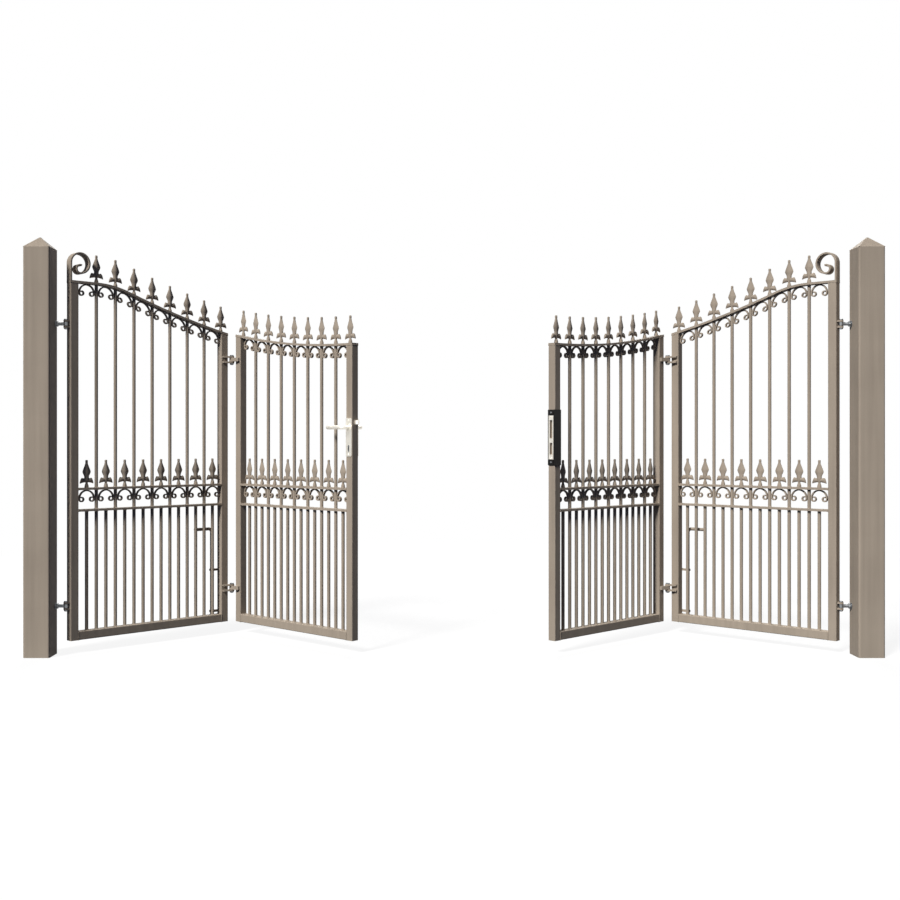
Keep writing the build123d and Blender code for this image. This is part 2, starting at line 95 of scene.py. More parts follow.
class GateSizes(PropertyGroup):
    """Sizes of the gate's ironwork."""

    stile_pivot_offset: size("Stile to post pin", "From the hinge stile's edge to the post pin", 0.014)
    fold_gap: size("Fold gap", "Between the two leaves of a fold", 0.028)
    fold_pivot_front: size("Fold pin in front", "From the leaf's front face to the fold pin", 0.0125)
    centre_gap: size("Centre gap", "Between the two inner leaves when closed", 0.022)
    leaf_width: size("Leaf width", "Width of each leaf", 0.86)
    leaf_bottom: size("Leaf bottom", "From the ground to the leaf's underside", 0.06)
    stile_side: size("Stile side", "Side of the square stiles and bottom rail", 0.04)
    rail_depth: size("Rail depth", "Depth of the flat rails, from front to rear", 0.04)
    rail_thickness: size("Rail thickness", "Thickness of the flat rails", 0.01)
    lower_rail_height: size("Lower rail", "Height of the lower middle rail", 0.655)
    upper_rail_height: size("Upper rail", "Height of the upper middle rail", 0.754)
    top_rail_high: size("Top rail at the post", "Height of the level shoulder", 1.712)
    top_rail_low: size("Top rail at the centre", "Height of the dip", 1.425)
    dip_radius: size("Dip radius", "Radius of the top rail's dip", 4.25)
    shoulder_radius: size("Shoulder radius", "Radius of the top rail's shoulder", 0.5)
    bay_pitch: size("Bay pitch", "Between neighbouring full-height bars", 0.0985)
    bay_count: IntProperty(name="Bays", description="Bays in each leaf", default=8)
    bar_diameter: size("Bar diameter", "Diameter of the round bars", 0.016)
    bar_sides: IntProperty(name="Bar sides", description="Faces round each bar", default=20)
    railhead_height: size("Railhead height", "From the rail to the railhead's tip", 0.128)
    railhead_half_width: size("Railhead half width", "From its middle to a leaf tip", 0.034)
    scroll_depth: size("Scroll depth", "Width of the scrolls' strip", 0.012)
    scroll_thickness: size("Scroll thickness", "Thickness of the scrolls' strip", 0.006)
    scroll_ring_radius: size("Scroll ring radius", "Outer radius of a scroll's curled end", 0.0135)
    scroll_drop: size("Scroll drop", "From the rail to the middle of a curled end", 0.043)
    scroll_side_gap: size("Scroll side gap", "Between a scroll and a bar", 0.0015)
    stile_scroll_radius: size("Stile scroll radius", "Outer radius of the hinge stile's scroll", 0.05)
    stile_scroll_rise: size("Stile scroll rise", "From the top rail to the scroll's top", 0.132)
    stile_scroll_thickness: size("Stile scroll thickness", "Thickness of its flat bar", 0.008)
    stile_scroll_eye_radius: size("Stile scroll eye radius", "Outer radius of its small end curl", 0.023)
    upper_post_hinge: size("Upper post hinge", "Height of the upper post hinges", 1.511)
    lower_post_hinge: size("Lower post hinge", "Height of the lower post hinges", 0.221)
    upper_fold_hinge: size("Upper fold hinge", "Height of the upper fold hinges", 1.387)
    lower_fold_hinge: size("Lower fold hinge", "Height of the lower fold hinges", 0.231)
    eye_height: size("Hinge eye height", "Height of the hinge eyes", 0.018)
    eye_radius: size("Post eye radius", "Outer radius of the post hinges' eyes", 0.0105)
    lug_thickness: size("Lug thickness", "Thickness of the hinge lugs", 0.008)
    lug_gap: size("Lug gap", "Between a lug and an eye", 0.0005)
    post_pin_diameter: size("Post pin diameter", "Diameter of the post hinges' bolts", 0.010)
    fold_pin_diameter: size("Fold pin diameter", "Diameter of the fold hinges' bolts", 0.012)
    eyebolt_diameter: size("Eyebolt diameter", "Diameter of the eyebolts' shanks", 0.016)
    post_side: size("Post side", "Side of the square posts", 0.12)
    lever_height: size("Lever height", "Height of the lever's spindle", 1.038)
    lever_standoff: size("Lever standoff", "From the lock plate to the middle of the grip", 0.038)
    lever_length: size("Lever length", "From the spindle to the grip's end", 0.104)
    lever_diameter: size("Lever diameter", "Diameter of the lever's neck", 0.019)
    lock_plate_thickness: size("Lock plate thickness", "Thickness of the lock plates", 0.003)
    lock_plate_below: size("Lock plate below", "From the lever to the lock plate's foot", 0.134)
    lock_plate_above: size("Lock plate above", "From the lever to the lock plate's top", 0.042)
    key_below: size("Key below the lever", "From the lever to the keyhole", 0.097)
    key_width: size("Key slot width", "Width of the key slot in the lock plates", 0.010)
    key_length: size("Key slot length", "Length of the key slot in the lock plates", 0.032)
    keep_low: size("Keep foot", "Height of the keep's foot", 0.864)
    keep_high: size("Keep top", "Height of the keep's top", 1.119)
    keep_thickness: size("Keep thickness", "Thickness of the keep on the edge", 0.003)
    strike_edge: size("Strike edge", "From the keep's ends to the strike plate's", 0.027)
    strike_width: size("Strike width", "Width of the strike plate", 0.028)
    strike_thickness: size("Strike thickness", "Thickness of the strike plate", 0.002)
    slot_width: size("Slot width", "Width of the strike plate's slots", 0.015)
    latch_slot_low: size("Latch slot foot", "Height of the latch slot's foot", 0.987)
    latch_slot_high: size("Latch slot top", "Height of the latch slot's top", 1.071)
    bolt_slot_low: size("Bolt slot foot", "Height of the bolt slot's foot", 0.913)
    bolt_slot_high: size("Bolt slot top", "Height of the bolt slot's top", 0.967)
    weld_leg: size("Weld leg", "Leg of the weld fillets", 0.0032)
    bead_radius: size("Weld bead radius", "Radius of the weld beads", 0.0016)
    edge_break: size("Edge break", "Rounding of sheared edges", 0.0008)


class GateFinishes(PropertyGroup):
    """Colours of the gate's finishes."""

    coat: colour("Powder coat", "Warm stone-grey coat on the steelwork", "#9F9385")
    zinc: colour("Zinc plate", "Plated bolts, keep screws and key cylinders", "#84878A")
    stainless: colour("Stainless steel", "Lock furniture", "#F8F4EA")
    # the key slits wear this black as painted shade for the inside of the keyways
    black: colour("Black nylon", "Lock keep, tube plugs and key slits", "#0B0A0A")
    floor: colour("Floor", "Pale studio floor", "#FFFFFF")


class GateLight(PropertyGroup):
    """Studio light."""

    key: strength("Key", "Strength of the key lamp", 4.3)
    key_turn: angle("Key turn", "How far left of the front the key stands", 36)
    key_rise: angle("Key rise", "How high the key stands", 40)
    key_spread: angle("Key spread", "How wide the key looks from the gate", 14)
    back: strength("Back", "Strength of the softer lamp behind the gate", 1.7)
    fill: strength("Fill", "Strength of the light from all round", 0.085)


def sizes():
    """The gate's sizes."""
    return bpy.context.scene.gate_sizes


def finishes():
    """The finishes' colours."""
    return bpy.context.scene.gate_finishes


# Where the leaves stand
def leaf_place(leaf):
    """Matrix from a flat leaf, with x from its hinge edge, y from its mid-plane and z up, to its place."""
    s = sizes()
    left, right = (JOINTS[side + "_post_hinge"]["pos_m"] for side in ("left", "right"))
    rest = radians(JOINTS["left_post_hinge"]["range_deg"][1])
    if leaf in OUTER_LEAVES:
        pin, turn, edge = left, rest, (s.stile_pivot_offset, 0, 0)
    else:
        pin, turn = JOINTS["left_fold_hinge"]["pos_m"], -rest
        edge = (s.fold_gap / 2, s.stile_side / 2 + s.fold_pivot_front, 0)
    place = Matrix.Translation((pin[0], pin[1], 0)) @ Matrix.Rotation(turn, 4, "Z") @ Matrix.Translation(edge)
    if "right" in leaf:
        place = Matrix.Translation((left[0] + right[0], 0, 0)) @ Matrix.Scale(-1, 4, (1, 0, 0)) @ place
    return place


def to_centre(leaf):
    """From a flat leaf's hinge edge to the gate's centre line."""
    s = sizes()
    inner = s.leaf_width + s.centre_gap / 2
    return inner + s.fold_gap + s.leaf_width if leaf in OUTER_LEAVES else inner


def rail_height(from_centre, drop=0):
    """Height of the surface that lies a drop under the top rail's upper face."""
    s = sizes()
    apart = s.dip_radius + s.shoulder_radius
    shoulder_middle = s.top_rail_high - s.shoulder_radius
    shoulder_start = sqrt(apart ** 2 - (s.top_rail_low + s.dip_radius - shoulder_middle) ** 2)
    dip_end = shoulder_start * (s.dip_radius + drop) / apart
    if from_centre <= dip_end:
        return s.top_rail_low + s.dip_radius - sqrt((s.dip_radius + drop) ** 2 - from_centre ** 2)
    if from_centre <= shoulder_start:
        return shoulder_middle + sqrt((s.shoulder_radius - drop) ** 2 - (shoulder_start - from_centre) ** 2)
    return s.top_rail_high - drop


def rail_fall(from_centre):
    """Slope of the top rail, as the fall for each length towards the gate's centre."""
    step = sizes().rail_thickness
    return (rail_height(from_centre + step) - rail_height(from_centre - step)) / (2 * step)


def bar_places():
    """Full-height bars, between the bays."""
    s = sizes()
    return [s.stile_side + s.bay_pitch * bay for bay in range(1, s.bay_count)]


def dog_places():
    """Dog bars, low railheads and scrolls, in the middles of the bays."""
    s = sizes()
    return [s.stile_side + s.bay_pitch * (bay + 0.5) for bay in range(s.bay_count)]


# Node trees
def feed(tree, node, inputs):
    """Set a node's inputs to values or link them to sockets; a node stands for its first output in use."""
    for key, value in inputs.items():
        if isinstance(value, bpy.types.Node):
            value = next(socket for socket in value.outputs if socket.enabled)
        if isinstance(value, bpy.types.NodeSocket):
            tree.links.new(value, node.inputs[key])
        else:
            node.inputs[key].default_value = value


def add_node(tree, kind, inputs=None, **settings):
    """A node with its settings, and with its inputs set or linked."""
    made = tree.nodes.new(kind)
    for key, value in settings.items():
        setattr(made, key, value)
    feed(tree, made, inputs or {})
    return made


def new_tree(name, inputs):
    """An empty geometry tree with named inputs and a finish, and the sockets of its inputs."""
    tree = bpy.data.node_groups.new(name, "GeometryNodeTree")
    tree.interface.new_socket("Geometry", in_out="INPUT", socket_type="NodeSocketGeometry")
    tree.interface.new_socket("Geometry", in_out="OUTPUT", socket_type="NodeSocketGeometry")
    for label, kind in {**inputs, "Finish": "Material"}.items():
        tree.interface.new_socket(label, in_out="INPUT", socket_type="NodeSocket" + kind)
    return tree, add_node(tree, "NodeGroupInput").outputs


def end_tree(tree, geometry, given):
    """The tree, with Realize Instances and Set Material before its output."""
    real = add_node(tree, "GeometryNodeRealizeInstances", {"Geometry": geometry})
    coated = add_node(tree, "GeometryNodeSetMaterial", {"Geometry": real, "Material": given["Finish"]})
    add_node(tree, "NodeGroupOutput", {"Geometry": coated})
    return tree


def turned_copies(tree, points, shape):
    """Copies of a shape on points, each turned as its point says."""
    turn = add_node(tree, "GeometryNodeInputNamedAttribute", {"Name": "turn"}, data_type="FLOAT_VECTOR")
    return add_node(tree, "GeometryNodeInstanceOnPoints",
                    {"Points": points, "Instance": shape, "Rotation": turn})


def grow(tree, guide, slot, settings):
    """Plain mesh that a tree makes from a guide mesh, in a slot's finish."""
    holder = bpy.data.objects.new("guide", guide)
    bpy.context.scene.collection.objects.link(holder)
    modifier = holder.modifiers.new("grow", "NODES")
    modifier.node_group = tree
    values = {**settings, "Finish": finish(slot)}
    for item in tree.interface.items_tree:
        if item.item_type == "SOCKET" and item.name in values:
            modifier[item.identifier] = values[item.name]
    depsgraph = bpy.context.evaluated_depsgraph_get()
    mesh = bpy.data.meshes.new_from_object(holder.evaluated_get(depsgraph))
    holder.modifiers.remove(modifier)
    bpy.data.objects.remove(holder)
    return mesh


def guide_points(points, **values):
    """Loose points, with named values on them."""
    mesh = bpy.data.meshes.new("guide points")
    mesh.from_pydata(points, [], [])
    for name, numbers in values.items():
        if isinstance(numbers[0], tuple):
            flat = [number for each in numbers for number in each]
            mesh.attributes.new(name, "FLOAT_VECTOR", "POINT").data.foreach_set("vector", flat)
        else:
            mesh.attributes.new(name, "FLOAT", "POINT").data.foreach_set("value", numbers)
    return mesh


def guide_places(places):
    """Loose points with their turns; a place is a point and its turn."""
    return guide_points([point for point, _ in places], turn=[turn for _, turn in places])


def guide_lines(lines, closed=False):
    """Chains of edges, one for each line of points."""
    points, edges = [], []
    for line in lines:
        start = len(points)
        points += line
        edges += [(start + step, start + step + 1) for step in range(len(line) - 1)]
        if closed:
            edges.append((start + len(line) - 1, start))
    mesh = bpy.data.meshes.new("guide lines")
    mesh.from_pydata(points, edges, [])
    return mesh


def copies(shape, places, slot):
    """Plain mesh of copies of a shape, one at each place."""
    tree, given = new_tree(shape.name + " copies", {"Piece": "Object"})
    piece = add_node(tree, "GeometryNodeObjectInfo", {"Object": given["Piece"]}).outputs["Geometry"]
    end_tree(tree, turned_copies(tree, given["Geometry"], piece), given)
    original = bpy.data.objects.new(shape.name, shape)
    mesh = grow(tree, guide_places(places), slot, {"Piece": original})
    bpy.data.objects.remove(original)
    return mesh


# Angles past which edges stay sharp: on most pieces, on fasteners, on castings and on welds
SHARP, SHARP_FASTENER, SHARP_CASTING, SHARP_WELD = radians(40), radians(30), radians(50), radians(60)


def settle(name, mesh, place, body, slot, replaced=(), sharp=SHARP):
    """Finish a piece: its place goes into its mesh, it rides on a body and may stand for nodes."""
    mesh.transform(place)
    if place.determinant() < 0:
        mesh.flip_normals()
    mesh.shade_smooth()
    mesh.set_sharp_from_angle(angle=sharp)
    if not mesh.materials:
        mesh.materials.append(finish(slot))
    piece = bpy.data.objects.new(name, mesh)
    bpy.context.scene.collection.objects.link(piece)
    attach(piece, body)
    if replaced:
        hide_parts(*replaced)


def settle_on(leaf, word, mesh, slot, replaced=None, sharp=SHARP):
    """Finish a piece that is named for its leaf, as the node is that it may stand for."""
    nodes = [leaf.replace("leaf", replaced)] if replaced else []
    settle(leaf.replace("leaf", word), mesh, leaf_place(leaf), leaf, slot, nodes, sharp)


# Finishes
COAT, ZINC, STAINLESS, BLACK = "powder_coat", "zinc_steel", "stainless_steel", "black_coat"
# Inputs of a colour mix, whose names its other kinds share
MIX_FROM, MIX_TO = 6, 7


def toned(shade, factor=1):
    """A colour made darker or lighter, for a colour socket."""
    return (*[min(1, part * factor) for part in shade], 1)


def new_finish(name):
    """An empty material, its tree, its principled shader and the Object coordinates for its patterns."""
    made = bpy.data.materials.new(name)
    made.use_nodes = True
    tree = made.node_tree
    return made, tree, tree.nodes["Principled BSDF"], add_node(tree, "ShaderNodeTexCoord").outputs["Object"]


def vary(tree, shader, pattern, base, tones, roughness):
    """Let a pattern vary a finish's colour between two tones of its base, and its roughness."""
    dark, light = (toned(base, factor) for factor in tones)
    tone = add_node(tree, "ShaderNodeMix", {"Factor": pattern, MIX_FROM: dark, MIX_TO: light},
                    data_type="RGBA")
    shine = add_node(tree, "ShaderNodeMapRange",
                     {"Value": pattern, "To Min": roughness[0], "To Max": roughness[1]})
    feed(tree, shader, {"Base Color": tone, "Roughness": shine})


def powder_coated_steel():
    """Fine-textured polyester powder on steel: a matt coat with a tight grain, rain marks and low dust."""
    made, tree, shader, place = new_finish("powder_coated_steel")
    base = finishes().coat
    # the powder's grain is about 1 mm across, drawn at 3 mm so that it shows
    grain = add_node(tree, "ShaderNodeTexNoise", {"Vector": place, "Scale": 1 / 0.003, "Detail": 2})
    # the coat's thickness drifts over about 300 mm
    drift = add_node(tree, "ShaderNodeTexNoise", {"Vector": place, "Scale": 1 / 0.3, "Detail": 4})
    # rain marks are about 25 mm across and 700 mm long
    fallen = add_node(tree, "ShaderNodeMapping", {"Vector": place, "Scale": (1 / 0.025, 1 / 0.025, 1 / 0.7)})
    rain = add_node(tree, "ShaderNodeTexNoise", {"Vector": fallen, "Scale": 1, "Detail": 2})
    marks = add_node(tree, "ShaderNodeMath", {0: drift, 1: rain}, operation="ADD")
    marks = add_node(tree, "ShaderNodeMath", {0: marks, 1: grain}, operation="ADD")
    tone = add_node(tree, "ShaderNodeMapRange", {"Value": marks, "From Min": 1, "From Max": 2})
    coat = add_node(tree, "ShaderNodeMix",
                    {"Factor": tone, MIX_FROM: toned(base, 0.84), MIX_TO: toned(base, 1.16)},
                    data_type="RGBA")
    # dust thins out up to 320 mm above the ground
    height = add_node(tree, "ShaderNodeSeparateXYZ", {"Vector": place}).outputs["Z"]
    low = add_node(tree, "ShaderNodeMapRange",
                   {"Value": height, "From Max": 0.32, "To Min": 0.35, "To Max": 0})
    dust = add_node(tree, "ShaderNodeMath", {0: low, 1: drift}, operation="MULTIPLY")
    dusty = add_node(tree, "ShaderNodeMix",
                     {"Factor": dust, MIX_FROM: coat, MIX_TO: toned(linear("#B0A594"))},
                     data_type="RGBA")
    sheen = add_node(tree, "ShaderNodeMapRange", {"Value": grain, "To Min": 0.45, "To Max": 0.65})
    bump = add_node(tree, "ShaderNodeBump", {"Height": grain, "Strength": 0.3, "Distance": 0.0005})
    feed(tree, shader, {"Base Color": dusty, "Roughness": sheen, "Normal": bump, "Specular IOR Level": 0.04})
    return made


def zinc_plated_steel():
    """Electro-plated zinc: pale grey metal with a soft, slightly cloudy shine."""
    made, tree, shader, place = new_finish("zinc_plated_steel")
    # clouds in the plating are about 6 mm across
    cloud = add_node(tree, "ShaderNodeTexNoise", {"Vector": place, "Scale": 1 / 0.006, "Detail": 3})
    vary(tree, shader, cloud, finishes().zinc, tones=(0.8, 1.15), roughness=(0.36, 0.56))
    feed(tree, shader, {"Metallic": 1})
    return made


def satin_stainless_steel():
    """Satin-brushed stainless: bright, slightly warm metal with fine level brush lines."""
    made, tree, shader, place = new_finish("satin_stainless_steel")
    # brush lines run level, about 0.8 mm apart so that they show, and 60 mm long
    brushed = add_node(tree, "ShaderNodeMapping",
                       {"Vector": place, "Scale": (1 / 0.06, 1 / 0.06, 1 / 0.0008)})
    lines = add_node(tree, "ShaderNodeTexNoise", {"Vector": brushed, "Scale": 1, "Detail": 3})
    vary(tree, shader, lines, finishes().stainless, tones=(0.86, 1.06), roughness=(0.36, 0.5))
    bump = add_node(tree, "ShaderNodeBump", {"Height": lines, "Strength": 0.06, "Distance": 0.0002})
    feed(tree, shader, {"Metallic": 1, "Normal": bump})
    return made


def black_nylon():
    """Glass-filled nylon: near-black moulding with a fine matt grain, also laid on the key slits as painted shade
    inside the keyways.
    """
    made, tree, shader, place = new_finish("black_nylon")
    # moulded grain is about 1 mm, drawn at 2 mm so that it shows
    grain = add_node(tree, "ShaderNodeTexNoise", {"Vector": place, "Scale": 1 / 0.002, "Detail": 2})
    vary(tree, shader, grain, finishes().black, tones=(0.8, 1.3), roughness=(0.4, 0.58))
    bump = add_node(tree, "ShaderNodeBump", {"Height": grain, "Strength": 0.2, "Distance": 0.0003})
    feed(tree, shader, {"Normal": bump, "Specular IOR Level": 0.2})
    return made


MAKERS = {COAT: powder_coated_steel, ZINC: zinc_plated_steel,
          STAINLESS: satin_stainless_steel, BLACK: black_nylon}


def finish(slot):
    """A slot's finish, made when it is first asked for."""
    make = MAKERS[slot]
    return bpy.data.materials.get(make.__name__) or make()


class GATE_OT_finishes(Operator):
    """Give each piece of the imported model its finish"""

    bl_idname = "gate.finishes"
    bl_label = "Finishes"

    def execute(self, context):
        slots = {part["node"]: part["material_slot"] for part in frame["record"]["subparts"]}
        for node, piece in frame["nodes"].items():
            piece.data.materials.clear()
            piece.data.materials.append(finish(slots[node]))
        return {"FINISHED"}


# Upright bars
def bars_tree():
    """Round bars that stand on points, each as long as its point says."""
    tree, given = new_tree("upright bars", {"Bar diameter": "Float", "Sides": "Int"})
    radius = add_node(tree, "ShaderNodeMath", {0: given["Bar diameter"], 1: 0.5}, operation="MULTIPLY")
    rod = add_node(tree, "GeometryNodeMeshCylinder",
                   {"Vertices": given["Sides"], "Radius": radius, "Depth": 1})
    raised = add_node(tree, "GeometryNodeTransform", {"Geometry": rod, "Translation": (0, 0, 0.5)})
    length = add_node(tree, "GeometryNodeInputNamedAttribute", {"Name": "bar_length"}, data_type="FLOAT")
    stretch = add_node(tree, "ShaderNodeCombineXYZ", {"X": 1, "Y": 1, "Z": length})
    bars = add_node(tree, "GeometryNodeInstanceOnPoints",
                    {"Points": given["Geometry"], "Instance": raised, "Scale": stretch})
    return end_tree(tree, bars, given)


class GATE_OT_bars(Operator):
    """Round full-height bars and dog bars of each leaf"""

    bl_idname = "gate.bars"
    bl_label = "Bars"

    def execute(self, context):
        s = sizes()
        tree = bars_tree()
        foot = s.leaf_bottom + s.stile_side
        for leaf in LEAVES:
            tops = [rail_height(to_centre(leaf) - x, s.rail_thickness) for x in bar_places()]
            tops += [s.lower_rail_height - s.rail_thickness / 2] * s.bay_count
            points = [(x, 0, foot) for x in bar_places() + dog_places()]
            guide = guide_points(points, bar_length=[top - foot for top in tops])
            mesh = grow(tree, guide, COAT, {"Bar diameter": s.bar_diameter, "Sides": s.bar_sides})
            settle_on(leaf, "round_bars", mesh, COAT, "bars")
        return {"FINISHED"}


# Skins
# Ridge at which an oval has its plain shape
ROUND = 2


def oval(across, through, ridge, z=0, count=24):
    """Level ring: a lozenge at a ridge of 1, an oval at 2, and nearer to a rectangle as it rises."""
    ring = []
    for place in range(count):
        turn = 2 * pi * place / count
        x = copysign(abs(cos(turn)) ** (2 / ridge), cos(turn))
        y = copysign(abs(sin(turn)) ** (2 / ridge), sin(turn))
        ring.append((across * x, through * y, z))
    return ring


def round_ring(radius, z, count=24):
    """Level circle of points."""
    return oval(radius, radius, ROUND, z, count)


def hex_ring(flats, limit, z, count=24):
    """Level hexagon of points, its corners turned down to a limiting radius."""
    ring = []
    for place in range(count):
        turn = 2 * pi * place / count
        off_flat = (turn + pi / 6) % (pi / 3) - pi / 6
        radius = min(limit, flats / 2 / cos(off_flat))
        ring.append((radius * cos(turn), radius * sin(turn), z))
    return ring


def arc(x, z, radius, start, step, count):
    """Points of an arc, in equal steps from a start angle."""
    turns = [start + step * place for place in range(count)]
    return [(x + radius * cos(turn), z + radius * sin(turn)) for turn in turns]


def join(shape, low, high):
    """Quads between two rings of corners."""
    for place in range(len(low)):
        after = (place + 1) % len(low)
        shape.faces.new((low[place], low[after], high[after], high[place]))


def band(shape, sections):
    """Quads from ring to ring, with the last joined to the first."""
    rings = [[shape.verts.new(point) for point in ring] for ring in sections]
    for low, high in zip(rings, rings[1:] + rings[:1]):
        join(shape, low, high)


def skin(shape, sections):
    """Quads from ring to ring, with the two ends closed."""
    rings = [[shape.verts.new(point) for point in ring] for ring in sections]
    for low, high in zip(rings, rings[1:]):
        join(shape, low, high)
    shape.faces.new(list(reversed(rings[0])))
    shape.faces.new(rings[-1])


def to_mesh(name, shape):
    """Plain mesh of a finished shape, with its faces outwards."""
    bmesh.ops.recalc_face_normals(shape, faces=shape.faces)
    made = bpy.data.meshes.new(name)
    shape.to_mesh(made)
    shape.free()
    return made


def skin_mesh(name, sections):
    """Plain mesh of one skin."""
    shape = bmesh.new()
    skin(shape, sections)
    return to_mesh(name, shape)


# Railheads
# Spear from foot to tip: height in railhead heights, half width and half thickness in its half widths, ridge
SPEAR_SHARES = [(-0.07, 0.26, 0.25, 2), (0.0, 0.29, 0.27, 2), (0.04, 0.29, 0.27, 2), (0.08, 0.26, 0.25, 2),
                (0.12, 0.21, 0.21, 2), (0.15, 0.17, 0.17, 2), (0.18, 0.16, 0.16, 2), (0.21, 0.20, 0.18, 2),
                (0.27, 0.30, 0.22, 2), (0.34, 0.35, 0.23, 2), (0.39, 0.35, 0.22, 1.8),
                (0.43, 0.39, 0.22, 1.6), (0.49, 0.50, 0.23, 1.4), (0.54, 0.59, 0.25, 1.3),
                (0.575, 0.62, 0.255, 1.3), (0.61, 0.59, 0.25, 1.3), (0.68, 0.49, 0.22, 1.3),
                (0.75, 0.38, 0.19, 1.4), (0.82, 0.27, 0.165, 1.6), (0.87, 0.195, 0.15, 2),
                (0.895, 0.165, 0.145, 2), (0.915, 0.175, 0.165, 2), (0.95, 0.18, 0.17, 2),
                (0.985, 0.17, 0.16, 2), (1.0, 0.13, 0.12, 2)]
# Side leaf from neck to tip: distance and half thickness in half widths, lower and upper edge in heights
LEAF_SHARES = [(0.12, 0.17, 0.196, 0.375), (0.30, 0.19, 0.191, 0.350), (0.46, 0.20, 0.185, 0.341),
               (0.58, 0.20, 0.179, 0.352), (0.68, 0.19, 0.173, 0.358), (0.76, 0.175, 0.168, 0.350),
               (0.83, 0.155, 0.162, 0.328), (0.89, 0.13, 0.156, 0.292), (0.94, 0.105, 0.151, 0.248),
               (0.98, 0.08, 0.147, 0.204), (1.0, 0.05, 0.148, 0.174)]
LEAF_RIDGE = 1.6


def railhead_mesh():
    """Cast spear with a knob at its tip, a ridged blade, two drooping leaves and a round socket."""
    s = sizes()
    wide, tall = s.railhead_half_width, s.railhead_height
    shape = bmesh.new()
    skin(shape, [oval(across * wide, through * wide, ridge, up * tall, count=12)
                 for up, across, through, ridge in SPEAR_SHARES])
    for side in (-1, 1):
        sections = []
        for across, through, low, high in LEAF_SHARES:
            ring = oval((high - low) / 2 * tall, through * wide, LEAF_RIDGE, count=8)
            sections.append([(side * across * wide, y, (low + high) / 2 * tall + z) for z, y, _ in ring])
        skin(shape, sections)
    return to_mesh("railhead", shape)


class GATE_OT_railheads(Operator):
    """Cast railheads on the top rail and on the upper middle rail"""

    bl_idname = "gate.railheads"
    bl_label = "Railheads"

    def execute(self, context):
        s = sizes()
        for leaf in LEAVES:
            first = 1 if leaf in OUTER_LEAVES else 0
            tops = [s.stile_side + s.bay_pitch * bay for bay in range(first, s.bay_count + 1)]
            points = [(x, 0, rail_height(to_centre(leaf) - x)) for x in tops]
            points += [(x, 0, s.upper_rail_height + s.rail_thickness / 2) for x in dog_places()]
            mesh = copies(railhead_mesh(), [(point, UPRIGHT) for point in points], COAT)
            settle_on(leaf, "cast_railheads", mesh, COAT, "railheads", sharp=SHARP_CASTING)
        return {"FINISHED"}


# Scrolls
ARCH_STEPS, CURL_STEPS = 12, 24
# A C-scroll's curl: how far it turns, from which share of that it tightens, and by how much
CURL_TURN, CURL_TIGHTENS, CURL_TIGHTER = radians(290), 0.55, 0.22
# A stile scroll's arc and eye: the turn of each step, and the count of points
STILE_STEP, STILE_POINTS = radians(5), 54
EYE_STEP, EYE_POINTS = radians(8), 26


def strips_tree():
    """Flat strips that follow lines drawn in plan, then stood up into the leaf's plane."""
    tree, given = new_tree("flat strips", {"Thickness": "Float", "Depth": "Float", "Edge break": "Float"})
    line = add_node(tree, "GeometryNodeMeshToCurve", {"Mesh": given["Geometry"]})
    level = add_node(tree, "GeometryNodeSetCurveNormal", {"Curve": line}, mode="Z_UP")
    section = add_node(tree, "GeometryNodeCurvePrimitiveQuadrilateral",
                       {"Width": given["Thickness"], "Height": given["Depth"]}, mode="RECTANGLE")
    eased = add_node(tree, "GeometryNodeFilletCurve",
                     {"Curve": section, "Count": 2, "Radius": given["Edge break"]}, mode="POLY")
    swept = add_node(tree, "GeometryNodeCurveToMesh",
                     {"Curve": level, "Profile Curve": eased, "Fill Caps": True})
    stood = add_node(tree, "GeometryNodeTransform", {"Geometry": swept, "Rotation": (pi / 2, 0, 0)})
    return end_tree(tree, stood, given)


def scroll_line():
    """Middle line of a C-scroll: an arch with a curl at each end."""
    s = sizes()
    arch = s.bay_pitch / 2 - s.bar_diameter / 2 - s.scroll_side_gap - s.scroll_thickness / 2
    ring = s.scroll_ring_radius - s.scroll_thickness / 2
    half = arc(0, -s.scroll_thickness / 2 - arch, arch, pi / 2, -pi / 2 / ARCH_STEPS, ARCH_STEPS + 1)
    for step in range(CURL_STEPS + 1):
        share = step / CURL_STEPS
        tight = ring * (1 - CURL_TIGHTER * max(0, share - CURL_TIGHTENS) / (1 - CURL_TIGHTENS))
        turn = -CURL_TURN * share
        half.append((arch - ring + tight * cos(turn), -s.scroll_drop + tight * sin(turn)))
    return [(-x, z) for x, z in reversed(half[1:])] + half


class GATE_OT_scrolls(Operator):
    """C-scrolls in the bays under the top rail and under the upper middle rail"""

    bl_idname = "gate.scrolls"
    bl_label = "Scrolls"

    def execute(self, context):
        s = sizes()
        tree = strips_tree()
        strip = {"Thickness": s.scroll_thickness, "Depth": s.scroll_depth, "Edge break": s.edge_break}
        for leaf in LEAVES:
            lines = []
            for x in dog_places():
                from_centre = to_centre(leaf) - x
                for under, fall in ((rail_height(from_centre, s.rail_thickness), rail_fall(from_centre)),
                                    (s.upper_rail_height - s.rail_thickness / 2, 0)):
                    lines.append([(x + out, under + up - fall * out, 0) for out, up in scroll_line()])
            settle_on(leaf, "c_scrolls", grow(tree, guide_lines(lines), COAT, strip), COAT, "scrolls")
        return {"FINISHED"}


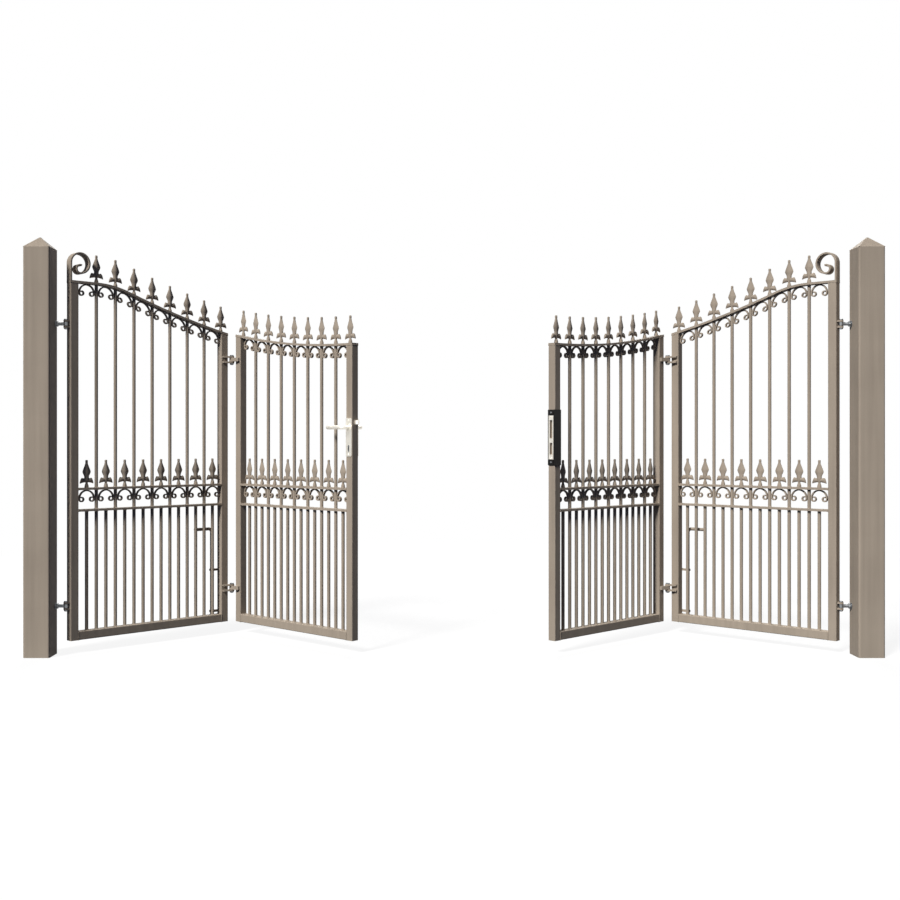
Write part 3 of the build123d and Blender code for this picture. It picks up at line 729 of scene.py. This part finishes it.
class GATE_OT_stile_scrolls(Operator):
    """Flat bars that rise from the hinge stiles and curl over towards the leaf"""

    bl_idname = "gate.stile_scrolls"
    bl_label = "Stile scrolls"

    def execute(self, context):
        s = sizes()
        tree = strips_tree()
        strip = {"Thickness": s.stile_scroll_thickness, "Depth": s.rail_depth, "Edge break": s.edge_break}
        half = s.stile_scroll_thickness / 2
        radius = s.stile_scroll_radius - half
        eye = s.stile_scroll_eye_radius - half
        middle = s.stile_scroll_radius
        centre = s.top_rail_high + s.stile_scroll_rise - s.stile_scroll_radius
        line = [(half, s.top_rail_high)] + arc(middle, centre, radius, pi, -STILE_STEP, STILE_POINTS)
        line += arc(middle, centre - radius + eye, eye, -pi / 2, -EYE_STEP, EYE_POINTS)
        for leaf in OUTER_LEAVES:
            guide = guide_lines([[(x, z, 0) for x, z in line]])
            settle_on(leaf, "curled_finial", grow(tree, guide, COAT, strip), COAT, "stile_scroll")
        return {"FINISHED"}


# Welds
WELD_SIDES, BEAD_SIDES, BEAD_SEED = 12, 6, 7
# A bead's ripple: its step in bead radii, and the least and greatest share of that radius
RIPPLE_STEP, RIPPLE_LEAST, RIPPLE_GREATEST = 2.4, 0.7, 1.0


def weld_cones_tree():
    """Small cones where bars meet rails, each turned as its point says."""
    tree, given = new_tree("weld fillets", {"Bar diameter": "Float", "Weld leg": "Float"})
    bar = add_node(tree, "ShaderNodeMath", {0: given["Bar diameter"], 1: 0.5}, operation="MULTIPLY")
    foot = add_node(tree, "ShaderNodeMath", {0: bar, 1: given["Weld leg"]}, operation="ADD")
    cone = add_node(tree, "GeometryNodeMeshCone", {"Vertices": WELD_SIDES, "Radius Top": bar,
                                                   "Radius Bottom": foot, "Depth": given["Weld leg"]})
    return end_tree(tree, turned_copies(tree, given["Geometry"], cone), given)


class GATE_OT_bar_welds(Operator):
    """Weld fillets round the bars, where they meet the rails"""

    bl_idname = "gate.bar_welds"
    bl_label = "Bar welds"

    def execute(self, context):
        s = sizes()
        tree = weld_cones_tree()
        floor = s.leaf_bottom + s.stile_side
        half = s.rail_thickness / 2
        for leaf in LEAVES:
            places = [((x, 0, floor), UPRIGHT) for x in bar_places() + dog_places()]
            places += [((x, 0, s.lower_rail_height - half), UPSIDE_DOWN) for x in bar_places() + dog_places()]
            places += [((x, 0, s.upper_rail_height - half), UPSIDE_DOWN) for x in bar_places()]
            places += [((x, 0, rail + half), UPRIGHT) for x in bar_places()
                       for rail in (s.lower_rail_height, s.upper_rail_height)]
            for x in bar_places():
                from_centre = to_centre(leaf) - x
                lean = atan(rail_fall(from_centre))
                places.append(((x, 0, rail_height(from_centre, s.rail_thickness)), (pi, -lean, 0)))
            mesh = grow(tree, guide_places(places), COAT,
                        {"Bar diameter": s.bar_diameter, "Weld leg": s.weld_leg})
            settle_on(leaf, "bar_welds", mesh, COAT, sharp=SHARP_WELD)
        return {"FINISHED"}


def beads_tree():
    """Round beads along lines, with the slow ripple of a hand-laid weld."""
    tree, given = new_tree("weld beads", {"Bead radius": "Float"})
    line = add_node(tree, "GeometryNodeMeshToCurve", {"Mesh": given["Geometry"]})
    step = add_node(tree, "ShaderNodeMath", {0: given["Bead radius"], 1: RIPPLE_STEP}, operation="MULTIPLY")
    fine = add_node(tree, "GeometryNodeResampleCurve", {"Curve": line, "Length": step}, mode="LENGTH")
    # inputs 2 and 3 are the least and the greatest of a plain number
    ripple = add_node(tree, "FunctionNodeRandomValue",
                      {2: RIPPLE_LEAST, 3: RIPPLE_GREATEST, "Seed": BEAD_SEED}, data_type="FLOAT")
    section = add_node(tree, "GeometryNodeCurvePrimitiveCircle",
                       {"Resolution": BEAD_SIDES, "Radius": given["Bead radius"]})
    swept = add_node(tree, "GeometryNodeCurveToMesh",
                     {"Curve": fine, "Profile Curve": section, "Scale": ripple, "Fill Caps": True})
    return end_tree(tree, swept, given)


class GATE_OT_rail_welds(Operator):
    """Weld beads where the rails meet the stiles"""

    bl_idname = "gate.rail_welds"
    bl_label = "Rail welds"

    def execute(self, context):
        s = sizes()
        tree = beads_tree()
        half = s.rail_depth / 2
        thin = s.rail_thickness / 2
        near, far = s.stile_side, s.leaf_width - s.stile_side
        rails = [(s.leaf_bottom, s.leaf_bottom + s.stile_side)]
        rails += [(height - thin, height + thin) for height in (s.lower_rail_height, s.upper_rail_height)]
        for leaf in LEAVES:
            lines = [[(x, -half, low), (x, -half, high), (x, half, high), (x, half, low)]
                     for x in (near, far) for low, high in rails]
            for low, high in ((0, near), (far, s.leaf_width)):
                lines.append([(x, y, rail_height(to_centre(leaf) - x, s.rail_thickness))
                              for x, y in ((low, -half), (high, -half), (high, half), (low, half))])
            mesh = grow(tree, guide_lines(lines, closed=True), COAT, {"Bead radius": s.bead_radius})
            settle_on(leaf, "rail_welds", mesh, COAT, sharp=SHARP_WELD)
        return {"FINISHED"}


# Fasteners
# Eased edges: of a hexagon in its width, of a washer in its thickness, of an eye in its half height
HEX_EASE, WASHER_EASE, EYE_EASE = 0.08, 0.25, 0.14
# A thread's start and roots in its radius, and where its crests and roots are in its pitch
THREAD_START, THREAD_ROOT, CREST_AT, ROOT_AT = 0.93, 0.9, 0.45, 0.95
# Hinge bolt in its diameters; the head, the nut and the thread's end are measured from the washers
BOLT_SHARES = {"flats": 1.55, "washer radius": 0.92, "washer": 0.1, "head": 0.42, "nut": 0.5,
               "thread end": 0.68, "pitch": 0.09}
# Eyebolt in its diameters; the washer and the nut's end are measured from the post's face
EYEBOLT_SHARES = {"flats": 1.5, "washer radius": 0.95, "washer": 0.16, "nut end": 0.72, "pitch": 0.125}
# Eyebolt's neck: radius of its start in shank radii, then distances in eye radii with radii in shank radii
EYEBOLT_START, EYEBOLT_NECK = 0.98, [(1.1, 1), (1.6, 1), (1.7, 0.92)]
# How far the hinge bolts' heads are turned
POST_BOLT_TURN, FOLD_BOLT_TURN = (0, 0, 0.3), (0, 0, 0.2)
# Tube plug: width and flange thickness in the stile's side, and its ridge
PLUG_WIDTH, PLUG_FLANGE, PLUG_RIDGE = 0.92, 0.1, 8
# Its sections: share of its width, and height in flange thicknesses
PLUG_SHARES = [(0.94, 0), (1, 0.25), (1, 1), (0.85, 1), (0.85, 4)]


def hex_block(shape, flats, low, high):
    """Hexagon with its corners chamfered at both ends."""
    corner = flats / sqrt(3)
    ease = flats * HEX_EASE
    skin(shape, [hex_ring(flats, flats / 2, low), hex_ring(flats, corner, low + ease),
                 hex_ring(flats, corner, high - ease), hex_ring(flats, flats / 2, high)])


def eased_sides(radius, low, high, ease):
    """Rings of an upright side whose edges are eased."""
    return [round_ring(radius - ease, low), round_ring(radius, low + ease),
            round_ring(radius, high - ease), round_ring(radius - ease, high)]


def washer(shape, radius, low, high):
    """Flat washer with eased edges."""
    skin(shape, eased_sides(radius, low, high, (high - low) * WASHER_EASE))


def thread(shape, radius, low, high, pitch):
    """Threaded rod, drawn as a row of ridges."""
    rings = [round_ring(radius * THREAD_START, low)]
    turns = int((high - low) / pitch)
    for turn in range(turns):
        foot = low + (high - low) * turn / turns
        rings += [round_ring(radius, foot + pitch * CREST_AT),
                  round_ring(radius * THREAD_ROOT, foot + pitch * ROOT_AT)]
    skin(shape, rings)


def hinge_bolt_mesh(name, diameter):
    """Hexagon bolt through a clevis, with washers and a nut; its middle is at the origin."""
    s = sizes()
    part = {feature: share * diameter for feature, share in BOLT_SHARES.items()}
    lug = s.eye_height / 2 + s.lug_gap + s.lug_thickness
    seat = lug + part["washer"]
    shape = bmesh.new()
    skin(shape, [round_ring(diameter / 2, -lug), round_ring(diameter / 2, lug)])
    for low, high in ((-seat, -lug), (lug, seat)):
        washer(shape, part["washer radius"], low, high)
    hex_block(shape, part["flats"], seat, seat + part["head"])
    hex_block(shape, part["flats"], -seat - part["nut"], -seat)
    thread(shape, diameter / 2, -seat - part["thread end"], -seat - part["nut"], part["pitch"])
    return to_mesh(name, shape)


class GATE_OT_hinge_bolts(Operator):
    """Hexagon bolts through the post hinges and the fold hinges"""

    bl_idname = "gate.hinge_bolts"
    bl_label = "Hinge bolts"

    def execute(self, context):
        s = sizes()
        fold = (s.leaf_width + s.fold_gap / 2, -s.stile_side / 2 - s.fold_pivot_front)
        posts = [((-s.stile_pivot_offset, 0, height), POST_BOLT_TURN)
                 for height in (s.upper_post_hinge, s.lower_post_hinge)]
        folds = [((*fold, height), FOLD_BOLT_TURN) for height in (s.upper_fold_hinge, s.lower_fold_hinge)]
        for leaf in OUTER_LEAVES:
            mesh = copies(hinge_bolt_mesh("post hinge bolt", s.post_pin_diameter), posts, ZINC)
            settle_on(leaf, "post_hinge_bolts", mesh, ZINC, "hinge_pins", sharp=SHARP_FASTENER)
            mesh = copies(hinge_bolt_mesh("fold hinge bolt", s.fold_pin_diameter), folds, ZINC)
            settle_on(leaf, "fold_hinge_bolts", mesh, ZINC, sharp=SHARP_FASTENER)
        return {"FINISHED"}


def eyebolt_mesh():
    """Forged eye with a threaded shank towards -x, and a nut and washer against the post's face."""
    s = sizes()
    part = {feature: share * s.eyebolt_diameter for feature, share in EYEBOLT_SHARES.items()}
    face = JOINTS["left_post_hinge"]["pos_m"][0] - s.post_side / 2
    shank = s.eyebolt_diameter / 2
    half = s.eye_height / 2
    ease = half * EYE_EASE
    bore = s.post_pin_diameter / 2 + s.lug_gap
    shape = bmesh.new()
    neck = [(bore + ease, shank * EYEBOLT_START)]
    neck += [(s.eye_radius * far, shank * fat) for far, fat in EYEBOLT_NECK]
    skin(shape, [round_ring(fat, far) for far, fat in neck])
    thread(shape, shank, neck[-1][0], face + shank, part["pitch"])
    washer(shape, part["washer radius"], face - part["washer"], face)
    hex_block(shape, part["flats"], face - part["nut end"], face - part["washer"])
    shape.transform(Matrix.Rotation(-pi / 2, 4, "Y"))
    eye = eased_sides(s.eye_radius, -half, half, ease)
    band(shape, eye + [round_ring(bore, half), round_ring(bore, -half)])
    return to_mesh("eyebolt", shape)


class GATE_OT_eyebolts(Operator):
    """Eyebolts that carry the outer leaves, screwed into the posts"""

    bl_idname = "gate.eyebolts"
    bl_label = "Eyebolts"

    def execute(self, context):
        s = sizes()
        places = []
        for side, turn in (("left", 0), ("right", pi)):
            x, y, _ = JOINTS[side + "_post_hinge"]["pos_m"]
            places += [((x, y, height), (0, 0, turn)) for height in (s.upper_post_hinge, s.lower_post_hinge)]
        mesh = copies(eyebolt_mesh(), places, ZINC)
        settle("threaded_eyebolts", mesh, Matrix.Identity(4), "posts", ZINC, ["post_eyebolts"],
               sharp=SHARP_FASTENER)
        return {"FINISHED"}


class GATE_OT_tube_plugs(Operator):
    """Black inserts that close the lower ends of the stiles, their flanges flush with the tubes"""

    bl_idname = "gate.tube_plugs"
    bl_label = "Tube plugs"

    def execute(self, context):
        s = sizes()
        half = s.stile_side / 2
        wide, deep = half * PLUG_WIDTH, s.stile_side * PLUG_FLANGE
        sections = [oval(wide * share, wide * share, PLUG_RIDGE, deep * up) for share, up in PLUG_SHARES]
        places = [((x, 0, s.leaf_bottom), UPRIGHT) for x in (half, s.leaf_width - half)]
        for leaf in LEAVES:
            settle_on(leaf, "tube_plugs", copies(skin_mesh("tube plug", sections), places, BLACK), BLACK)
        return {"FINISHED"}


# Lock
# Lever: radius of its bend in lever diameters, radius of its neck in lever radii, and steps round the bend
LEVER_BEND, LEVER_NECK, BEND_STEPS = 0.75, 0.96, 8
# Where the neck starts, in the stile's side, and where it ends, as a share of the way to the bend
NECK_START, NECK_END = 0.45, 0.8
# Grip: distance from the spindle in lever lengths, and radius in lever radii
GRIP_SHARES = [(0.55, 1), (0.93, 1), (0.965, 0.96), (0.99, 0.84), (1.0, 0.6)]
# Screw in head radii: radius and height of its dome; width, corner and height of its hexagon socket
DOME_SHARES = [(1, 0), (1, 0.25), (0.8, 0.5), (0.48, 0.58)]
SOCKET_SHARES = [(0.75, 0.42, 0.57), (0.72, 0.4, 0.15)]
# Collar in lever diameters: radius and height, round its section
COLLAR_SHARES = [(0.82, 0), (0.82, 0.12), (0.7626, 0.2), (0.53, 0.2), (0.53, 0)]
# Lock plate's screws in key slot widths: their radius, and their distance from the plate's ends
PLATE_SCREW, PLATE_SCREW_EDGE = 0.36, 1
# Key cylinder: half width and half height in the key slot's sizes, thickness in the lock plate's, and ridge
KEY_WIDE, KEY_TALL, KEY_DEEP, KEY_RIDGE = 0.47, 0.49, 0.75, 3.2
# Its sections: share of its half sizes, and height in its thickness
KEY_SHARES = [(1, 0), (1, 0.8), (0.94, 1)]
# Key slit, a black sheet that paints the shade inside the keyway: in the cylinder's half width, half height and
# thickness, and its ridge
SLIT_WIDE, SLIT_TALL, SLIT_HEIGHTS, SLIT_RIDGE = 0.36, 0.42, (0.9, 1.06), 6
# Keep in half its strike edge: half height of a block, radii of its screw and the strike's, and where that is
BLOCK_TALL, KEEP_SCREW, STRIKE_SCREW, STRIKE_SCREW_AT = 0.96, 0.3, 0.22, 2.5
# Keep block: eased edge in its height, the middle of that edge in the ease, and its ridge
BLOCK_EASE, BLOCK_EASE_MIDDLE, BLOCK_RIDGE = 0.3, 0.3, 7
# Slot box: depth in the slot's width, wall in the strike plate's thickness, and its ridge
BOX_DEEP, BOX_WALL, BOX_RIDGE = 0.7, 0.25, 12


def tube(shape, line, radii):
    """Round skin along a level line, with a radius for each of its points."""
    rings = []
    for step, point in enumerate(line):
        along = (line[min(step + 1, len(line) - 1)] - line[max(step - 1, 0)]).normalized()
        side = along.cross(Vector((0, 0, 1)))
        ring = oval(radii[step], radii[step], ROUND, count=20)
        rings.append([point + side * a + Vector((0, 0, b)) for a, b, _ in ring])
    skin(shape, rings)


class GATE_OT_lever(Operator):
    """Lever handles on both sides of the lock stile"""

    bl_idname = "gate.lever"
    bl_label = "Lever handles"

    def execute(self, context):
        s = sizes()
        x = s.leaf_width - s.stile_side / 2
        face = s.stile_side / 2 + s.lock_plate_thickness
        grip = face + s.lever_standoff
        bend = s.lever_diameter * LEVER_BEND
        neck = [(x, s.stile_side * NECK_START), (x, face), (x, (grip - bend) * NECK_END)]
        curve = arc(x - bend, grip - bend, bend, 0, pi / 2 / BEND_STEPS, BEND_STEPS + 1)
        points = neck + curve + [(x - s.lever_length * share, grip) for share, _ in GRIP_SHARES]
        shares = [LEVER_NECK] * len(neck) + [1] * len(curve) + [share for _, share in GRIP_SHARES]
        shape = bmesh.new()
        for side in (-1, 1):
            line = [Vector((across, side * out, s.lever_height)) for across, out in points]
            tube(shape, line, [s.lever_diameter / 2 * share for share in shares])
        mesh = to_mesh("lever handles", shape)
        settle("shaped_lever_handles", mesh, leaf_place(LOCK_LEAF), "lever", STAINLESS, ["lever_handles"])
        return {"FINISHED"}


def screw_mesh(radius):
    """Low-domed screw head with a hexagon socket."""
    dome = [round_ring(radius * wide, radius * up, count=12) for wide, up in DOME_SHARES]
    socket = [hex_ring(radius * flats, radius * corner, radius * up, count=12)
              for flats, corner, up in SOCKET_SHARES]
    return skin_mesh("screw", dome + socket)


def both_faces(x, out, heights):
    """Places on the leaf's front and rear, so far out from its mid-plane and facing outwards."""
    return [((x, side * out, height), (-side * pi / 2, 0, 0)) for side in (-1, 1) for height in heights]


class GATE_OT_lock_details(Operator):
    """Screws, collars and key cylinders of the lock, with black sheets on the cylinders as painted shade in their
    keyways
    """

    bl_idname = "gate.lock_details"
    bl_label = "Lock details"

    def execute(self, context):
        s = sizes()
        x = s.leaf_width - s.stile_side / 2
        face = s.stile_side / 2 + s.lock_plate_thickness
        edge = s.key_width * PLATE_SCREW_EDGE
        ends = (s.lever_height - s.lock_plate_below + edge, s.lever_height + s.lock_plate_above - edge)
        collar = bmesh.new()
        band(collar, [round_ring(s.lever_diameter * far, s.lever_diameter * up) for far, up in COLLAR_SHARES])
        wide, tall, deep = s.key_width * KEY_WIDE, s.key_length * KEY_TALL, s.lock_plate_thickness * KEY_DEEP
        cylinder = [oval(wide * share, tall * share, KEY_RIDGE, deep * up) for share, up in KEY_SHARES]
        # the key slits are thin black sheets just proud of the cylinders: painted shade where the keyways are
        slit = [oval(wide * SLIT_WIDE, tall * SLIT_TALL, SLIT_RIDGE, deep * up, count=16)
                for up in SLIT_HEIGHTS]
        screws = both_faces(x, face, ends)
        collars = both_faces(x, face, [s.lever_height])
        keys = both_faces(x, s.stile_side / 2, [s.lever_height - s.key_below])
        for name, shape, places, slot, sharp in (
                ("lock_plate_screws", screw_mesh(s.key_width * PLATE_SCREW), screws, STAINLESS, SHARP),
                ("lever_collars", to_mesh("collar", collar), collars, STAINLESS, SHARP_FASTENER),
                ("key_cylinders", skin_mesh("key cylinder", cylinder), keys, ZINC, SHARP),
                ("key_slits", skin_mesh("key slit", slit), keys, BLACK, SHARP)):
            settle(name, copies(shape, places, slot), leaf_place(LOCK_LEAF), LOCK_LEAF, slot, sharp=sharp)
        return {"FINISHED"}


def block_mesh(half_wide, half_tall, height):
    """Moulded block on a face, with its corners rounded and its outer edge eased."""
    ease = height * BLOCK_EASE
    slight = ease * BLOCK_EASE_MIDDLE
    return skin_mesh("keep block", [oval(half_wide - inset, half_tall - inset, BLOCK_RIDGE, z, count=32)
                                    for inset, z in ((0, 0), (0, height - ease), (slight, height - slight),
                                                     (ease, height))])


def slot_box_mesh(length):
    """Steel cup behind a slot of the strike plate, open towards it."""
    s = sizes()
    wall = s.strike_thickness * BOX_WALL
    deep = s.slot_width * BOX_DEEP
    return skin_mesh("slot box", [oval(s.slot_width / 2 - inset, length / 2 - inset, BOX_RIDGE, z)
                                  for inset, z in ((0, -deep), (0, 0), (wall, 0), (wall, wall - deep))])


class GATE_OT_keep_details(Operator):
    """End blocks, screws and slot boxes of the lock's keep"""

    bl_idname = "gate.keep_details"
    bl_label = "Keep details"

    def execute(self, context):
        s = sizes()
        out, stood = (0, pi / 2, 0), (pi / 2, 0, pi / 2)
        face = s.leaf_width + s.keep_thickness
        proud = face + s.strike_thickness
        half = s.strike_edge / 2
        ends = (s.keep_low + half, s.keep_high - half)
        inner = (s.keep_low + half * STRIKE_SCREW_AT, s.keep_high - half * STRIKE_SCREW_AT)
        block = block_mesh(s.strike_width / 2, half * BLOCK_TALL, s.strike_thickness)
        pieces = [("keep_blocks", block, face, stood, ends, BLACK),
                  ("keep_screws", screw_mesh(half * KEEP_SCREW), proud, out, ends, ZINC),
                  ("strike_screws", screw_mesh(half * STRIKE_SCREW), proud, out, inner, STAINLESS)]
        for name, low, high in (("latch", s.latch_slot_low, s.latch_slot_high),
                                ("bolt", s.bolt_slot_low, s.bolt_slot_high)):
            box = slot_box_mesh(high - low)
            pieces.append((name + "_slot_box", box, face, stood, [(low + high) / 2], COAT))
        for name, shape, x, turn, heights, slot in pieces:
            mesh = copies(shape, [((x, 0, height), turn) for height in heights], slot)
            settle(name, mesh, leaf_place(KEEP_LEAF), KEEP_LEAF, slot)
        return {"FINISHED"}


# Stage
# Floor: half its side, and how far it lies under the posts' feet so that the two don't flicker
FLOOR_REACH, FLOOR_DROP = 40, 0.001
# Shadows on the floor fade out between two distances from the gate's middle, and nearer they are part white
GATE_MIDDLE, SHADOW_NEAR, SHADOW_FAR, SHADOW_WHITE = (1.88, 0, 0), 2.5, 6, 0.85
WHITE = (1, 1, 1, 1)


def seen_rays(tree):
    """1 for what the camera sees, straight or in metal or glass, and 0 for light that falls on the gate."""
    path = add_node(tree, "ShaderNodeLightPath").outputs
    seen = add_node(tree, "ShaderNodeMath", {0: path["Is Camera Ray"], 1: path["Is Glossy Ray"]},
                    operation="MAXIMUM")
    return add_node(tree, "ShaderNodeMath", {0: seen, 1: path["Is Transmission Ray"]}, operation="MAXIMUM")


def studio_floor():
    """Pale seamless floor: white to the camera and in reflections, with the gate's shadow on it."""
    made, tree, shader, place = new_finish("studio_floor")
    tree.nodes.remove(shader)
    seen = seen_rays(tree)
    away = add_node(tree, "ShaderNodeVectorMath", {0: place, 1: GATE_MIDDLE}, operation="DISTANCE")
    fade = add_node(tree, "ShaderNodeMapRange",
                    {"Value": away, "From Min": SHADOW_NEAR, "From Max": SHADOW_FAR,
                     "To Min": SHADOW_WHITE, "To Max": 1})
    share = add_node(tree, "ShaderNodeMath", {0: seen, 1: fade}, operation="MULTIPLY")
    white = add_node(tree, "ShaderNodeEmission", {"Color": WHITE, "Strength": 1})
    tone = add_node(tree, "ShaderNodeMix", {"Factor": seen, MIX_FROM: toned(linear("#333B4A")),
                                            MIX_TO: toned(finishes().floor)}, data_type="RGBA")
    matt = add_node(tree, "ShaderNodeBsdfDiffuse", {"Color": tone})
    both = add_node(tree, "ShaderNodeMixShader", {0: share, 1: matt, 2: white})
    feed(tree, tree.nodes["Material Output"], {"Surface": both})
    return made


class GATE_OT_stage(Operator):
    """Floor, soft key and back lamps, light from all round and the camera"""

    bl_idname = "gate.stage"
    bl_label = "Stage"

    def execute(self, context):
        scene = context.scene
        light = scene.gate_light
        plane = bpy.data.meshes.new("floor")
        plane.from_pydata([(x * FLOOR_REACH, y * FLOOR_REACH, -FLOOR_DROP)
                           for x, y in ((-1, -1), (1, -1), (1, 1), (-1, 1))], [], [(0, 1, 2, 3)])
        plane.materials.append(studio_floor())
        floor = bpy.data.objects.new("floor", plane)
        scene.collection.objects.link(floor)

        level = cos(light.key_rise)
        for name, power, turn, spread in (("key", light.key, light.key_turn, light.key_spread),
                                          ("back", light.back, pi, 2 * light.key_spread)):
            lamp = bpy.data.lights.new(name, "SUN")
            lamp.energy = power
            lamp.color = linear("#FFFDFA")
            lamp.angle = spread
            towards = Vector((sin(turn) * level, cos(turn) * level, -sin(light.key_rise)))
            stand = bpy.data.objects.new(name, lamp)
            stand.rotation_euler = towards.to_track_quat("-Z", "Y").to_euler()
            scene.collection.objects.link(stand)

        world = bpy.data.worlds.new("studio")
        scene.world = world
        world.use_nodes = True
        tree = world.node_tree
        fill = tree.nodes["Background"]
        feed(tree, fill, {"Color": toned(linear("#A6C0F8")), "Strength": light.fill})
        white = add_node(tree, "ShaderNodeBackground", {"Color": WHITE, "Strength": 1})
        both = add_node(tree, "ShaderNodeMixShader", {0: seen_rays(tree), 1: fill, 2: white})
        feed(tree, tree.nodes["World Output"], {"Surface": both})

        # the camera was fitted to the photograph's posts and leaves
        lens = bpy.data.cameras.new("camera")
        lens.sensor_fit = "HORIZONTAL"
        lens.sensor_width = 36
        lens.lens = 46.63
        lens.shift_x = 0.0377
        lens.shift_y = -0.0115
        lens.clip_end = 200
        camera = bpy.data.objects.new("camera", lens)
        camera.location = (1.708, -5.2983, 0.9815)
        camera.rotation_euler = (pi / 2, 0, 0)
        scene.collection.objects.link(camera)
        scene.camera = camera
        scene.view_settings.view_transform = "Standard"
        return {"FINISHED"}


# Add-on
OPERATORS = (GATE_OT_finishes, GATE_OT_bars, GATE_OT_railheads, GATE_OT_scrolls, GATE_OT_stile_scrolls,
             GATE_OT_bar_welds, GATE_OT_rail_welds, GATE_OT_hinge_bolts, GATE_OT_eyebolts, GATE_OT_tube_plugs,
             GATE_OT_lever, GATE_OT_lock_details, GATE_OT_keep_details, GATE_OT_stage)


class GATE_PT_sidebar(Panel):
    """The gate's pieces, sizes and finishes"""

    bl_idname = "GATE_PT_sidebar"
    bl_label = "Bi-fold driveway gate"
    bl_space_type = "VIEW_3D"
    bl_region_type = "UI"
    bl_category = "Gate"

    def draw(self, context):
        scene = context.scene
        for operator in OPERATORS:
            self.layout.operator(operator.bl_idname)
        for group in (scene.gate_sizes, scene.gate_finishes, scene.gate_light):
            for name in group.bl_rna.properties.keys():
                if name not in ("rna_type", "name"):
                    self.layout.prop(group, name)


CLASSES = (GateSizes, GateFinishes, GateLight, *OPERATORS, GATE_PT_sidebar)


def register():
    for each in CLASSES:
        bpy.utils.register_class(each)
    bpy.types.Scene.gate_sizes = PointerProperty(type=GateSizes)
    bpy.types.Scene.gate_finishes = PointerProperty(type=GateFinishes)
    bpy.types.Scene.gate_light = PointerProperty(type=GateLight)


def unregister():
    del bpy.types.Scene.gate_light
    del bpy.types.Scene.gate_finishes
    del bpy.types.Scene.gate_sizes
    for each in reversed(CLASSES):
        bpy.utils.unregister_class(each)


def main():
    register()
    for operator in OPERATORS:
        area, action = operator.bl_idname.split(".")
        getattr(getattr(bpy.ops, area), action)()


if __name__ == "__main__":
    main()
